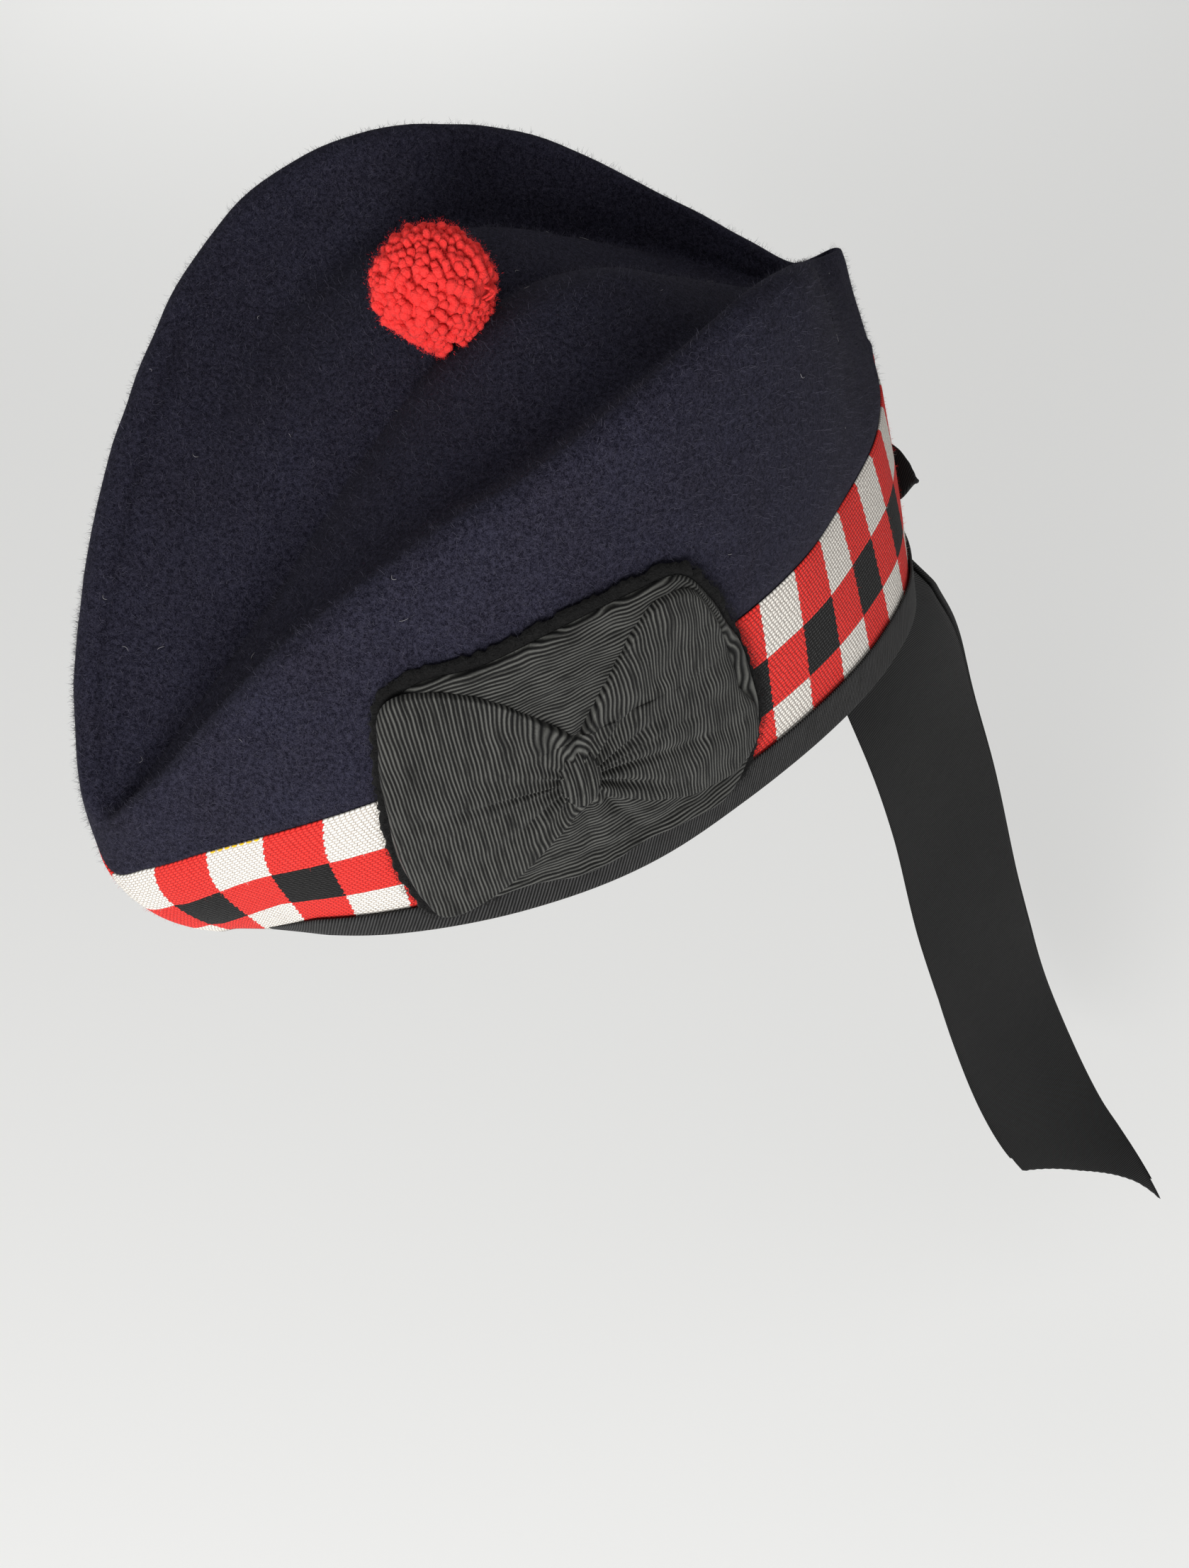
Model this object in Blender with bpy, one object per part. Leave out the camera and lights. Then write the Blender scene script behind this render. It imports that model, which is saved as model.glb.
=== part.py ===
"""A worn glengarry: a folded felt cap with a diced band, bound edge, rosette, toorie and two ribbon tails.

Metres, +Z up. The front points to -Y and the wearer's left, with the rosette, to +X.
The origin is the middle of the head opening. Every soft piece is a closed wall of its real thickness.
"""

import math

import bpy
import numpy as np
from mathutils import Vector
from mathutils.bvhtree import BVHTree

# Head opening and band
RIM_LENGTH = 0.2008
RIM_WIDTH = 0.1528
RIM_LIFT = 0.0204
BAND_RISE = 0.0465
BAND_TOP_LENGTH = 0.2415
BAND_TOP_WIDTH = 0.1456
BAND_BULGE = 0.0040

# Folded crown
CROWN_LENGTH = 0.2340
CROWN_WIDTH = 0.1260
WALL_RISE = 0.0660
WALL_BULGE = 0.0020
CROWN_DIP = 0.0240
FOLD_RADIUS = 0.0045

# Cloth walls and the gap kept between pieces
GAP = 0.0003
FELT = 0.0020
BAND_CLOTH = 0.0010
BINDING_CLOTH = 0.0010
BINDING_SHARE = 0.23
LEG_SHARE = 0.10
EDGE_SHARE = 0.035
RIBBON = 0.0010

# Rosette, placed by its middle: share of the half loop from the front, height along the wall from the rim.
# The cross bow puffs up from PUFF_CLEAR of the knot's height away from the middle.
ROSETTE_AROUND = 0.361
ROSETTE_UP = 0.0360
ROSETTE_LENGTH = 0.0960
ROSETTE_CLOTH = 0.0010
ROSETTE_SEAT = 0.0010
LAYER_GAP = 0.0009
LIP_RUN = 0.0040
BOW_PUFF = 0.0022
PUFF_CLEAR = 0.60
KNOT_LENGTH = 0.0090
KNOT_HEIGHT = 0.0140
KNOT_RISE = 0.0030

# Toorie
TOORIE_WIDTH = 0.0300
TOORIE_HEIGHT = 0.0300
TOORIE_AROUND = 0.475
TOORIE_RISE_SHARE = 0.46
TOORIE_TAPER = 0.20
TOORIE_CLEAR = 0.00075

# Ribbon at the back
TAIL_WIDTH = 0.0375
TAIL_LENGTH = 0.3350
TAIL_SLANT = 0.0340
TAIL_SPREAD = 0.0030
TAIL_SPREAD_RUN = 0.30
RIGHT_TAIL_SHARE = 0.985
TAIL_ROOT_ASIDE = 0.0090
TAIL_ROOT_SHARE = 0.13
TIE_HALF_LENGTH = 0.0284
TIE_CLOTH = 0.0020
TIE_SAG = 0.0050

# How finely the loops are divided. STATION_CROWDING draws the stations of a half loop towards its two ends.
HALF_STATIONS = 22
STATION_CROWDING = 0.055
TAIL_STATIONS = 26
BAND_HEIGHTS = (EDGE_SHARE, LEG_SHARE, BINDING_SHARE, 0.5, 0.75, 1.0)
WALL_HEIGHTS = (1.35, 1.7, 2.0)
ABOVE_BAND = 1.06

# Rounding of the crown, as shares: how far the rows on both sides of the ridge lie out and down in the fold's
# radius, and how much the hip and the slope bow up between the rows that they join.
SHOULDER_OUT = 0.68
SHOULDER_DOWN = 0.28
PAST_RIDGE = 0.65
PAST_RIDGE_DROP = 0.30
HIP_BOW = 0.06
SLOPE_BOW = 0.18

# One row for each section from the front of the hat (around 0) to the back (around 1), on the wearer's left.
# The right half mirrors it. Lengths are shares of the named sizes.
# Walls: rim_x of half RIM_WIDTH, rim_y of half RIM_LENGTH, rim_z of RIM_LIFT, top_x and top_y of half the
# band top's width and length, top_rise of BAND_RISE, bulge of BAND_BULGE, ridge_x and ridge_y of half the
# crown's width and length, ridge_rise of WALL_RISE, fold of FOLD_RADIUS.
WALL_COLUMNS = (
    "around", "rim_x", "rim_y", "rim_z", "top_x", "top_y", "top_rise", "bulge",
    "ridge_x", "ridge_y", "ridge_rise", "fold",
)
WALL_SECTIONS = (
    (0.00, 0.00, -1.00, -0.61, 0.00, -1.00, 0.80, 1.00, 0.00, -1.00, 0.20, 0.50),
    (0.04, 0.09, -0.98, -0.43, 0.15, -0.97, 0.83, 0.90, 0.09, -0.99, 0.19, 0.55),
    (0.10, 0.26, -0.92, -0.23, 0.35, -0.89, 0.89, 0.60, 0.26, -0.91, 0.29, 0.75),
    (0.20, 0.55, -0.78, -0.01, 0.63, -0.72, 0.97, 0.30, 0.50, -0.72, 0.52, 1.00),
    (0.30, 0.80, -0.57, 0.18, 0.82, -0.51, 1.00, 0.15, 0.74, -0.50, 0.71, 1.10),
    (0.40, 0.96, -0.32, 0.32, 0.95, -0.27, 1.00, 0.10, 0.94, -0.27, 0.86, 1.05),
    (0.50, 1.00, -0.04, 0.39, 1.00, -0.03, 1.00, 0.10, 1.00, -0.035, 0.965, 1.00),
    (0.60, 0.97, 0.25, 0.33, 0.93, 0.22, 0.99, 0.15, 0.93, 0.215, 1.00, 0.90),
    (0.70, 0.88, 0.53, 0.19, 0.77, 0.44, 0.98, 0.20, 0.73, 0.445, 0.89, 0.90),
    (0.80, 0.70, 0.78, -0.01, 0.57, 0.66, 0.98, 0.25, 0.38, 0.635, 0.66, 0.80),
    (0.88, 0.46, 0.93, -0.21, 0.37, 0.81, 0.98, 0.30, 0.14, 0.78, 0.52, 0.62),
    (0.94, 0.24, 0.99, -0.34, 0.19, 0.91, 0.96, 0.30, 0.07, 0.87, 0.48, 0.52),
    (1.00, 0.00, 1.00, -0.43, 0.00, 1.00, 0.91, 0.20, 0.00, 0.93, 0.49, 0.48),
)

# Crown, from the ridge down to the crease: foot_at and lobe_at are shares of the way from ridge to crease,
# crease_y is a share of half CROWN_LENGTH, and the dips are shares of CROWN_DIP below the ridge.
CROWN_COLUMNS = ("around", "foot_at", "foot_dip", "lobe_at", "lobe_dip", "crease_y", "crease_dip")
CROWN_SECTIONS = (
    (0.00, 0.45, 0.00, 0.70, 0.00, -0.94, -0.03),
    (0.04, 0.42, 0.05, 0.68, 0.06, -0.90, 0.04),
    (0.10, 0.36, 0.18, 0.62, 0.27, -0.82, 0.38),
    (0.20, 0.34, 0.34, 0.56, 0.50, -0.64, 0.84),
    (0.30, 0.30, 0.38, 0.58, 0.52, -0.45, 0.97),
    (0.40, 0.28, 0.50, 0.68, 0.52, -0.26, 0.88),
    (0.50, 0.27, 0.60, 0.68, 0.32, -0.05, 0.72),
    (0.60, 0.27, 0.78, 0.66, 0.36, 0.15, 0.68),
    (0.70, 0.28, 0.80, 0.62, 0.46, 0.34, 0.68),
    (0.80, 0.32, 0.44, 0.58, 0.35, 0.55, 0.46),
    (0.88, 0.38, 0.20, 0.62, 0.22, 0.70, 0.27),
    (0.94, 0.42, 0.09, 0.68, 0.10, 0.79, 0.13),
    (1.00, 0.45, 0.03, 0.70, 0.03, 0.86, 0.03),
)

# Outline of each flat rosette piece round the knot: the direction in degrees, 0 towards the back of the hat
# and 90 up, and the reach in that direction as a share of half ROSETTE_LENGTH.
BACKING_OUTLINE = (
    (0, 0.98), (23, 0.95), (35, 0.97), (51, 1.00), (63, 0.91), (89, 0.80),
    (112, 0.82), (132, 1.00), (152, 0.90), (165, 0.87), (184, 0.87), (206, 0.95),
    (221, 1.03), (236, 0.72), (265, 0.56), (310, 0.68), (328, 1.00), (345, 1.04),
)
UPRIGHT_OUTLINE = (
    (0, 0.25), (20, 0.55), (34, 0.92), (51, 0.95), (63, 0.86), (89, 0.75),
    (112, 0.77), (130, 0.92), (146, 0.60), (165, 0.26), (185, 0.24), (205, 0.60),
    (220, 0.97), (236, 0.68), (265, 0.52), (308, 0.62), (324, 0.86), (340, 0.50),
)
CROSS_OUTLINE = (
    (0, 0.93), (20, 0.90), (35, 0.64), (50, 0.34), (70, 0.24), (93, 0.33),
    (108, 0.60), (118, 0.79), (131, 0.94), (150, 0.86), (165, 0.83), (184, 0.83),
    (198, 0.74), (214, 0.40), (240, 0.20), (285, 0.18), (312, 0.40), (330, 0.90), (345, 0.97),
)

# Route of the left tail's middle line: share of TAIL_LENGTH, then place as shares of TAIL_LENGTH measured
# from the root under the tie, and the turn of the ribbon's width about the vertical, in degrees from +X
# towards +Y.
TAIL_COLUMNS = ("along", "left", "back", "down", "turn")
TAIL_ROUTE = (
    (0.000, 0.000, 0.000, 0.000, 0.0),
    (0.100, 0.003, 0.012, 0.090, 24.0),
    (0.230, 0.022, 0.036, 0.205, 64.0),
    (0.385, 0.046, 0.063, 0.353, 73.0),
    (0.540, 0.066, 0.079, 0.504, 72.0),
    (0.690, 0.096, 0.101, 0.651, 70.0),
    (0.845, 0.141, 0.126, 0.793, 52.0),
    (1.000, 0.202, 0.162, 0.897, 22.0),
)

# Outline of the tie: share of its half length, then its lower and upper edge as shares of the band's height.
TIE_OUTLINE = (
    (-1.00, 0.465, 0.49), (-0.88, 0.34, 0.52), (-0.74, 0.26, 0.545), (-0.22, 0.22, 0.54),
    (0.22, 0.22, 0.54), (0.74, 0.26, 0.545), (0.88, 0.34, 0.52), (1.00, 0.465, 0.49),
)


def smooth(knots, values, at, odd=False):
    """Cubic curve through a table's values, carried past both ends as a mirror image, or turned about each
    end point where odd is set."""
    knots = np.asarray(knots, float)
    values = np.asarray(values, float)
    k = np.concatenate([2 * knots[0] - knots[2:0:-1], knots, 2 * knots[-1] - knots[-2:-4:-1]])
    before, after = values[2:0:-1], values[-2:-4:-1]
    if odd:
        before, after = 2 * values[0] - before, 2 * values[-1] - after
    v = np.concatenate([before, values, after])
    step = np.diff(k)
    slope = np.diff(v) / step
    tangent = (slope[:-1] * step[1:] + slope[1:] * step[:-1]) / (step[:-1] + step[1:])
    at = np.asarray(at, float)
    i = np.clip(np.searchsorted(k, at, side="right") - 1, 1, len(k) - 3)
    h = step[i]
    t = (at - k[i]) / h
    start = (2 * t**3 - 3 * t**2 + 1) * v[i] + (t**3 - 2 * t**2 + t) * h * tangent[i - 1]
    end = (3 * t**2 - 2 * t**3) * v[i + 1] + (t**3 - t**2) * h * tangent[i]
    return start + end


def section(name, around):
    """A column of the section tables at any share of the way round."""
    of_wall = name in WALL_COLUMNS
    columns = WALL_COLUMNS if of_wall else CROWN_COLUMNS
    rows = WALL_SECTIONS if of_wall else CROWN_SECTIONS
    values = [row[columns.index(name)] for row in rows]
    return smooth([row[0] for row in rows], values, around, odd=name.endswith("_x"))


def vectors(x, y, z):
    return np.stack(np.broadcast_arrays(x, y, z), axis=-1).astype(float)


def unit(v):
    return v / np.maximum(np.linalg.norm(v, axis=-1, keepdims=True), 1e-12)


def rim_line(around):
    x = section("rim_x", around) * RIM_WIDTH / 2
    y = section("rim_y", around) * RIM_LENGTH / 2
    return vectors(x, y, section("rim_z", around) * RIM_LIFT)


def top_line(around):
    x = section("top_x", around) * BAND_TOP_WIDTH / 2
    y = section("top_y", around) * BAND_TOP_LENGTH / 2
    z = section("rim_z", around) * RIM_LIFT + section("top_rise", around) * BAND_RISE
    return vectors(x, y, z)


def ridge_line(around):
    x = section("ridge_x", around) * CROWN_WIDTH / 2
    y = section("ridge_y", around) * CROWN_LENGTH / 2
    z = top_line(around)[..., 2] + section("ridge_rise", around) * WALL_RISE
    return vectors(x, y, z)


def crease_line(around):
    y = section("crease_y", around) * CROWN_LENGTH / 2
    z = ridge_line(around)[..., 2] - section("crease_dip", around) * CROWN_DIP
    return vectors(0.0 * y, y, z)


def inward(around):
    """Level direction from the ridge to the crease."""
    way = crease_line(around) - ridge_line(around)
    way[..., 2] = 0.0
    return unit(way)


def outward(around):
    """Level direction out of the side wall."""
    step = 1e-3
    run = top_line(around + step) - top_line(around - step)
    return unit(vectors(run[..., 1], -run[..., 0], 0.0))


def fold_point(around, out_share, down_share):
    """A point of the rolled ridge, by shares of the fold's radius. A negative out_share lies on the crown."""
    radius = section("fold", around) * FOLD_RADIUS
    down = vectors(0.0, 0.0, -1.0)
    reach = radius[..., None]
    return ridge_line(around) - inward(around) * reach * out_share + down * reach * down_share


def side(around, height):
    """Outer face of the side wall: height 0 at the rim, 1 at the band's top, 2 outside the ridge."""
    around, height = np.broadcast_arrays(np.asarray(around, float), np.asarray(height, float))
    lower = np.clip(height, None, 1.0)[..., None]
    upper = np.clip(height - 1.0, 0.0, 1.0)[..., None]
    top = top_line(around)
    band = rim_line(around) + (top - rim_line(around)) * lower
    band_bulge = section("bulge", around)[..., None] * BAND_BULGE * 4 * lower * (1 - lower)
    wall = (fold_point(around, 1.0, 1.0) - top) * upper
    wall_bulge = np.sin(np.pi * around)[..., None] * WALL_BULGE * 4 * upper * (1 - upper)
    return band + wall + outward(around) * (band_bulge * (upper == 0) + wall_bulge)


def side_off(around, height, off):
    """The side wall's outer face moved off along its own normal, outwards where off is positive."""
    around, height = np.broadcast_arrays(np.asarray(around, float), np.asarray(height, float))
    step = 2e-3
    run = side(around + step, height) - side(around - step, height)
    rise = side(around, height + step) - side(around, height - step)
    return side(around, height) + unit(np.cross(run, rise)) * np.asarray(off, float)[..., None]


def wall_length(around):
    return np.linalg.norm(fold_point(around, 1.0, 1.0) - top_line(around), axis=-1)


def band_length(around):
    return np.linalg.norm(top_line(around) - rim_line(around), axis=-1)


def half_loop_length():
    points = side(np.linspace(0.0, 1.0, 121), 0.5)
    return float(np.linalg.norm(np.diff(points, axis=0), axis=1).sum())


def stations():
    """Shares of the half loop, closer together at the front and back, where the felt turns sharply."""
    even = np.linspace(0.0, 1.0, HALF_STATIONS + 1)
    return even - STATION_CROWDING * np.sin(2 * np.pi * even)


def whole_loop(half):
    """Both halves of a ring of points, from the front along the wearer's left and back round the right."""
    other = half[-2:0:-1] * np.array([-1.0, 1.0, 1.0])
    return np.concatenate([half, other])


def quads_between(first, second, falling=False):
    """Faces between two closed rows of point numbers. A falling pair runs from a higher row to a lower one,
    and starts each face at another corner, so that facing layers are cut along the same diagonal."""
    count = len(first)
    faces = [(first[i], first[(i + 1) % count], second[(i + 1) % count], second[i]) for i in range(count)]
    return [face[1:] + face[:1] for face in faces] if falling else faces


def turned_over(face):
    """The same face seen from behind, cut along the same diagonal."""
    return (face[0],) + tuple(reversed(face[1:]))


def vertex_normals(points, faces):
    normals = np.zeros_like(points)
    for face in faces:
        a, b, c, d = (points[i] for i in face)
        normal = np.cross(c - a, d - b)
        for i in face:
            normals[i] += normal
    return unit(normals)


def evened(normals, faces):
    """The normals averaged with those beside them, so that the two faces of a tight fold don't cross."""
    total = np.zeros_like(normals)
    for face in faces:
        total[list(face)] += normals[list(face)].mean(axis=0)
    return unit(total)


def material(name, colour, roughness):
    made = bpy.data.materials.new(name)
    made.use_nodes = True
    shader = made.node_tree.nodes["Principled BSDF"]
    shader.inputs["Base Color"].default_value = (*colour, 1.0)
    shader.inputs["Roughness"].default_value = roughness
    shader.inputs["Metallic"].default_value = 0.0
    return made


def add_object(name, points, faces, made):
    mesh = bpy.data.meshes.new(name)
    mesh.from_pydata([tuple(p) for p in points], [], [tuple(f) for f in faces])
    mesh.validate()
    mesh.materials.append(made)
    mesh.shade_smooth()
    obj = bpy.data.objects.new(name, mesh)
    bpy.context.scene.collection.objects.link(obj)
    return obj


def ring_solid(name, rings, made):
    """A closed band whose cross-section is the list of rings, in order round the section."""
    size = len(rings[0])
    points = np.concatenate(rings)
    rows = [list(range(r * size, (r + 1) * size)) for r in range(len(rings))]
    faces = []
    for row, after in zip(rows, rows[1:] + rows[:1]):
        falling = points[after, 2].mean() < points[row, 2].mean()
        faces += quads_between(row, after, falling)
    return add_object(name, points, faces, made)


# Felt cap
def crown_rows(around):
    """Points from the outside of the ridge over the fold and down to the crease, one array a row."""
    ridge = ridge_line(around)
    crease = crease_line(around)
    radius = section("fold", around) * FOLD_RADIUS
    foot_drop = section("foot_dip", around) * CROWN_DIP
    lobe_drop = section("lobe_dip", around) * CROWN_DIP
    inner_drop = np.clip(0.5 * foot_drop, 0.0, radius)

    def across(share, drop):
        point = ridge + (crease - ridge) * share[..., None]
        point[..., 2] = ridge[..., 2] - drop
        return point

    inner = ridge + inward(around) * radius[..., None]
    inner[..., 2] -= inner_drop
    high = ridge + inward(around) * radius[..., None] * PAST_RIDGE
    high[..., 2] -= inner_drop * PAST_RIDGE_DROP
    foot = across(section("foot_at", around), foot_drop)
    lobe = across(section("lobe_at", around), lobe_drop)
    hip = (foot + lobe) / 2
    hip[..., 2] += HIP_BOW * (lobe - foot)[..., 2]
    slope = (lobe + crease) / 2
    slope[..., 2] += SLOPE_BOW * (lobe - crease)[..., 2]
    return [
        fold_point(around, SHOULDER_OUT, SHOULDER_DOWN),
        ridge,
        high,
        inner,
        (inner + foot) / 2,
        foot,
        hip,
        lobe,
        slope,
    ]


def make_felt(made):
    around = stations()
    under_band = -(BAND_CLOTH + GAP)
    wall_rows = [(height, under_band) for height in BAND_HEIGHTS]
    wall_rows += [(ABOVE_BAND, -GAP)] + [(height, 0.0) for height in WALL_HEIGHTS]
    halves = [side_off(around, height, np.full_like(around, off)) for height, off in wall_rows]
    halves += crown_rows(around)
    rings = [whole_loop(half) for half in halves]
    size = len(rings[0])
    outer = np.concatenate(rings + [crease_line(around)])
    rows = [list(range(r * size, (r + 1) * size)) for r in range(len(rings))]
    first = len(rings) * size
    crease = [first + min(i, size - i) for i in range(size)]
    faces = []
    for row, after in zip(rows, rows[1:] + [crease]):
        faces += quads_between(row, after)
    normals = evened(evened(vertex_normals(outer, faces), faces), faces)
    inner = outer - normals * FELT
    middle = np.abs(outer[:, 0]) < 1e-9
    inner[middle, 0] = 0.0
    count = len(outer)
    faces_in = [tuple(i + count for i in turned_over(face)) for face in faces]
    edge = quads_between([i + count for i in rows[0]], rows[0])
    felt = add_object("felt_body", np.concatenate([outer, inner]), faces + faces_in + edge, made)
    return felt, BVHTree.FromPolygons([Vector(p) for p in outer], faces)


# Diced band and bound edge
def make_band(made):
    around = stations()
    out = [side_off(around, h, np.zeros_like(around)) for h in BAND_HEIGHTS]
    back = [side_off(around, h, np.full_like(around, -BAND_CLOTH)) for h in reversed(BAND_HEIGHTS)]
    ring_solid("diced_band", [whole_loop(half) for half in out + back], made)


def make_binding(made):
    """Ribbon folded over the lower edge: one leg outside the band, one inside the felt."""
    around = stations()
    outer_face = GAP
    inner_face = -(BAND_CLOTH + GAP + FELT + 2 * GAP)
    band_height = float(np.mean(band_length(around)))
    below = EDGE_SHARE - 2 * GAP / band_height
    under = below - BINDING_CLOTH / band_height
    profile = (
        (BINDING_SHARE, outer_face), (LEG_SHARE, outer_face), (below, outer_face),
        (below, inner_face), (LEG_SHARE, inner_face), (BINDING_SHARE, inner_face),
        (BINDING_SHARE, inner_face - BINDING_CLOTH), (LEG_SHARE, inner_face - BINDING_CLOTH),
        (under, inner_face - 0.2 * BINDING_CLOTH), (under, outer_face + 0.2 * BINDING_CLOTH),
        (LEG_SHARE, outer_face + BINDING_CLOTH), (BINDING_SHARE, outer_face + BINDING_CLOTH),
    )
    halves = [side_off(around, h, np.full_like(around, off)) for h, off in profile]
    ring_solid("edge_binding", [whole_loop(half) for half in halves], made)


# Rosette
def rosette_point(along, up, off):
    """A point over the side wall, from the rosette's middle: along to the back, up the wall and off it."""
    along, up, off = np.broadcast_arrays(along, up, off)
    around = ROSETTE_AROUND + along / half_loop_length()
    from_rim = ROSETTE_UP + up
    band = band_length(around)
    over_binding = np.clip((BINDING_SHARE * band + LIP_RUN - from_rim) / LIP_RUN, 0.0, 1.0)
    off = off + over_binding * (BINDING_CLOTH + GAP)
    over = np.clip(from_rim - band, 0.0, None) / wall_length(around)
    return side_off(around, np.minimum(from_rim / band, 1.0) + over, off)


def outline_reach(outline, angle):
    """Reach of a rosette piece in any direction, a smooth closed curve through its outline's points."""
    angles = np.radians([row[0] for row in outline])
    reach = np.array([row[1] for row in outline]) * ROSETTE_LENGTH / 2
    turn = 2 * np.pi
    wide_angles = np.concatenate([angles - turn, angles, angles + turn])
    return smooth(wide_angles, np.tile(reach, 3), angle)


def rosette_pad(name, outline, off, puff, made, segments=36, rings=(0.20, 0.40, 0.58, 0.74, 0.88, 1.0)):
    """A flat cloth piece round the knot, thicker by up to puff between the knot and its edge."""
    angle = np.linspace(0.0, 2 * np.pi, segments, endpoint=False)
    reach = outline_reach(outline, angle)
    points = []
    for top in (False, True):
        base = off + (ROSETTE_CLOTH if top else 0.0)
        points.append(rosette_point(0.0, 0.0, base)[None])
        for share in rings:
            clear = np.clip((share * reach - PUFF_CLEAR * KNOT_HEIGHT) / KNOT_HEIGHT, 0.0, 1.0)
            extra = puff * clear * (1.0 - share**4) if top else 0.0
            points.append(
                rosette_point(reach * share * np.cos(angle), reach * share * np.sin(angle), base + extra)
            )
    side_count = 1 + len(rings) * segments
    faces = []
    for first, turned in ((0, True), (side_count, False)):
        inner_row = [first + 1 + i for i in range(segments)]
        fan = [(first, inner_row[i], inner_row[(i + 1) % segments]) for i in range(segments)]
        for ring in range(1, len(rings)):
            start = first + 1 + ring * segments
            row = [start + i for i in range(segments)]
            fan += [turned_over(face) for face in quads_between(inner_row, row)]
            inner_row = row
        faces += [turned_over(face) for face in fan] if turned else fan
    low = [side_count - segments + i for i in range(segments)]
    high = [2 * side_count - segments + i for i in range(segments)]
    faces += quads_between(low, high)
    return add_object(name, np.concatenate(points), faces, made)


def make_rosette(cloth, ribbon):
    seat = ROSETTE_SEAT
    rosette_pad("rosette_backing", BACKING_OUTLINE, seat, 0.0, cloth)
    seat += ROSETTE_CLOTH + LAYER_GAP
    rosette_pad("rosette_upright_bow", UPRIGHT_OUTLINE, seat, 0.0, ribbon)
    seat += ROSETTE_CLOTH + LAYER_GAP
    rosette_pad("rosette_cross_bow", CROSS_OUTLINE, seat, BOW_PUFF, ribbon)
    seat += ROSETTE_CLOTH + LAYER_GAP
    make_knot(seat, ribbon)


def make_knot(off, made, around_count=12, layers=4):
    """Gathered middle: a low rounded lump, a little taller than it is long."""
    rings = []
    for layer in range(layers + 1):
        tilt = 0.5 * math.pi * layer / layers
        spread = math.cos(tilt) if layer < layers else 0.25
        angle = np.linspace(0.0, 2 * np.pi, around_count, endpoint=False)
        x = KNOT_LENGTH / 2 * spread * np.cos(angle)
        y = KNOT_HEIGHT / 2 * spread * np.sin(angle)
        rings.append(rosette_point(x, y, off + KNOT_RISE * math.sin(tilt)))
    points = np.concatenate(rings)
    faces = [tuple(range(around_count - 1, -1, -1))]
    rows = [list(range(r * around_count, (r + 1) * around_count)) for r in range(layers + 1)]
    for row, after in zip(rows, rows[1:]):
        faces += quads_between(row, after)
    faces.append(tuple(rows[-1]))
    return add_object("rosette_knot", points, faces, made)


# Toorie
def make_toorie(felt_tree, made, around_count=20, layers=12):
    """A pompom rounded at the top and drawn in towards its foot, which follows the felt under it."""
    seat = crease_line(np.array(TOORIE_AROUND))
    centre = seat + np.array([0.0, 0.0, TOORIE_HEIGHT * TOORIE_RISE_SHARE])
    rings = []
    for layer in range(1, layers):
        tilt = math.pi * layer / layers
        low = max(0.0, math.cos(tilt))
        spread = TOORIE_WIDTH / 2 * math.sin(tilt) * (1.0 - TOORIE_TAPER * low)
        angle = np.linspace(0.0, 2 * np.pi, around_count, endpoint=False)
        z = np.full(around_count, centre[2] - TOORIE_HEIGHT / 2 * math.cos(tilt))
        rings.append(vectors(centre[0] + spread * np.cos(angle), centre[1] + spread * np.sin(angle), z))
    foot = centre - np.array([0.0, 0.0, TOORIE_HEIGHT / 2])
    head = centre + np.array([0.0, 0.0, TOORIE_HEIGHT / 2])
    points = np.concatenate([foot[None]] + rings + [head[None]])
    for point in points:
        hit = felt_tree.ray_cast(Vector((point[0], point[1], 1.0)), Vector((0.0, 0.0, -1.0)))[0]
        if hit is not None:
            point[2] = max(point[2], hit.z + TOORIE_CLEAR)
    rows = [[1 + r * around_count + i for i in range(around_count)] for r in range(layers - 1)]
    faces = [(0, rows[0][(i + 1) % around_count], rows[0][i]) for i in range(around_count)]
    for row, after in zip(rows, rows[1:]):
        faces += quads_between(row, after)
    last = len(points) - 1
    faces += [(last, rows[-1][i], rows[-1][(i + 1) % around_count]) for i in range(around_count)]
    return add_object("toorie", points, faces, made)


# Ribbon at the back
def tail_value(name, along):
    column = TAIL_COLUMNS.index(name)
    knots = [row[0] for row in TAIL_ROUTE]
    return smooth(knots, [row[column] for row in TAIL_ROUTE], along, odd=True)


def tail_root():
    """Middle of the left tail's root: over the bound edge at the back, a little to the wearer's left."""
    off = 3 * GAP + BINDING_CLOTH + RIBBON / 2
    root = side_off(np.array(1.0), np.array(TAIL_ROOT_SHARE), np.array(off))
    return root + np.array([TAIL_ROOT_ASIDE, 0.0, 0.0])


def tail_frame(along):
    """Middle line of the left tail with its width and face directions."""
    def middle(at):
        place = [tail_value(column, at) * TAIL_LENGTH for column in ("left", "back", "down")]
        return vectors(place[0], place[1], -place[2]) + tail_root()

    step = 1e-3
    run = unit(middle(along + step) - middle(along - step))
    turn = np.radians(tail_value("turn", along))
    face = unit(np.cross(vectors(np.cos(turn), np.sin(turn), 0.0), run))
    return middle(along), np.cross(run, face), face


def tail_point(along, across, off):
    """A point of the left tail: share of its length, share of its width from the middle, and off its face.
    The cut end slants, so the ribbon is shorter towards its right edge."""
    shear = along * (1.0 - TAIL_SLANT / TAIL_LENGTH * (0.5 - across))
    middle, wide, face = tail_frame(shear)
    return middle + wide * TAIL_WIDTH * across[..., None] + face * off[..., None]


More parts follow.
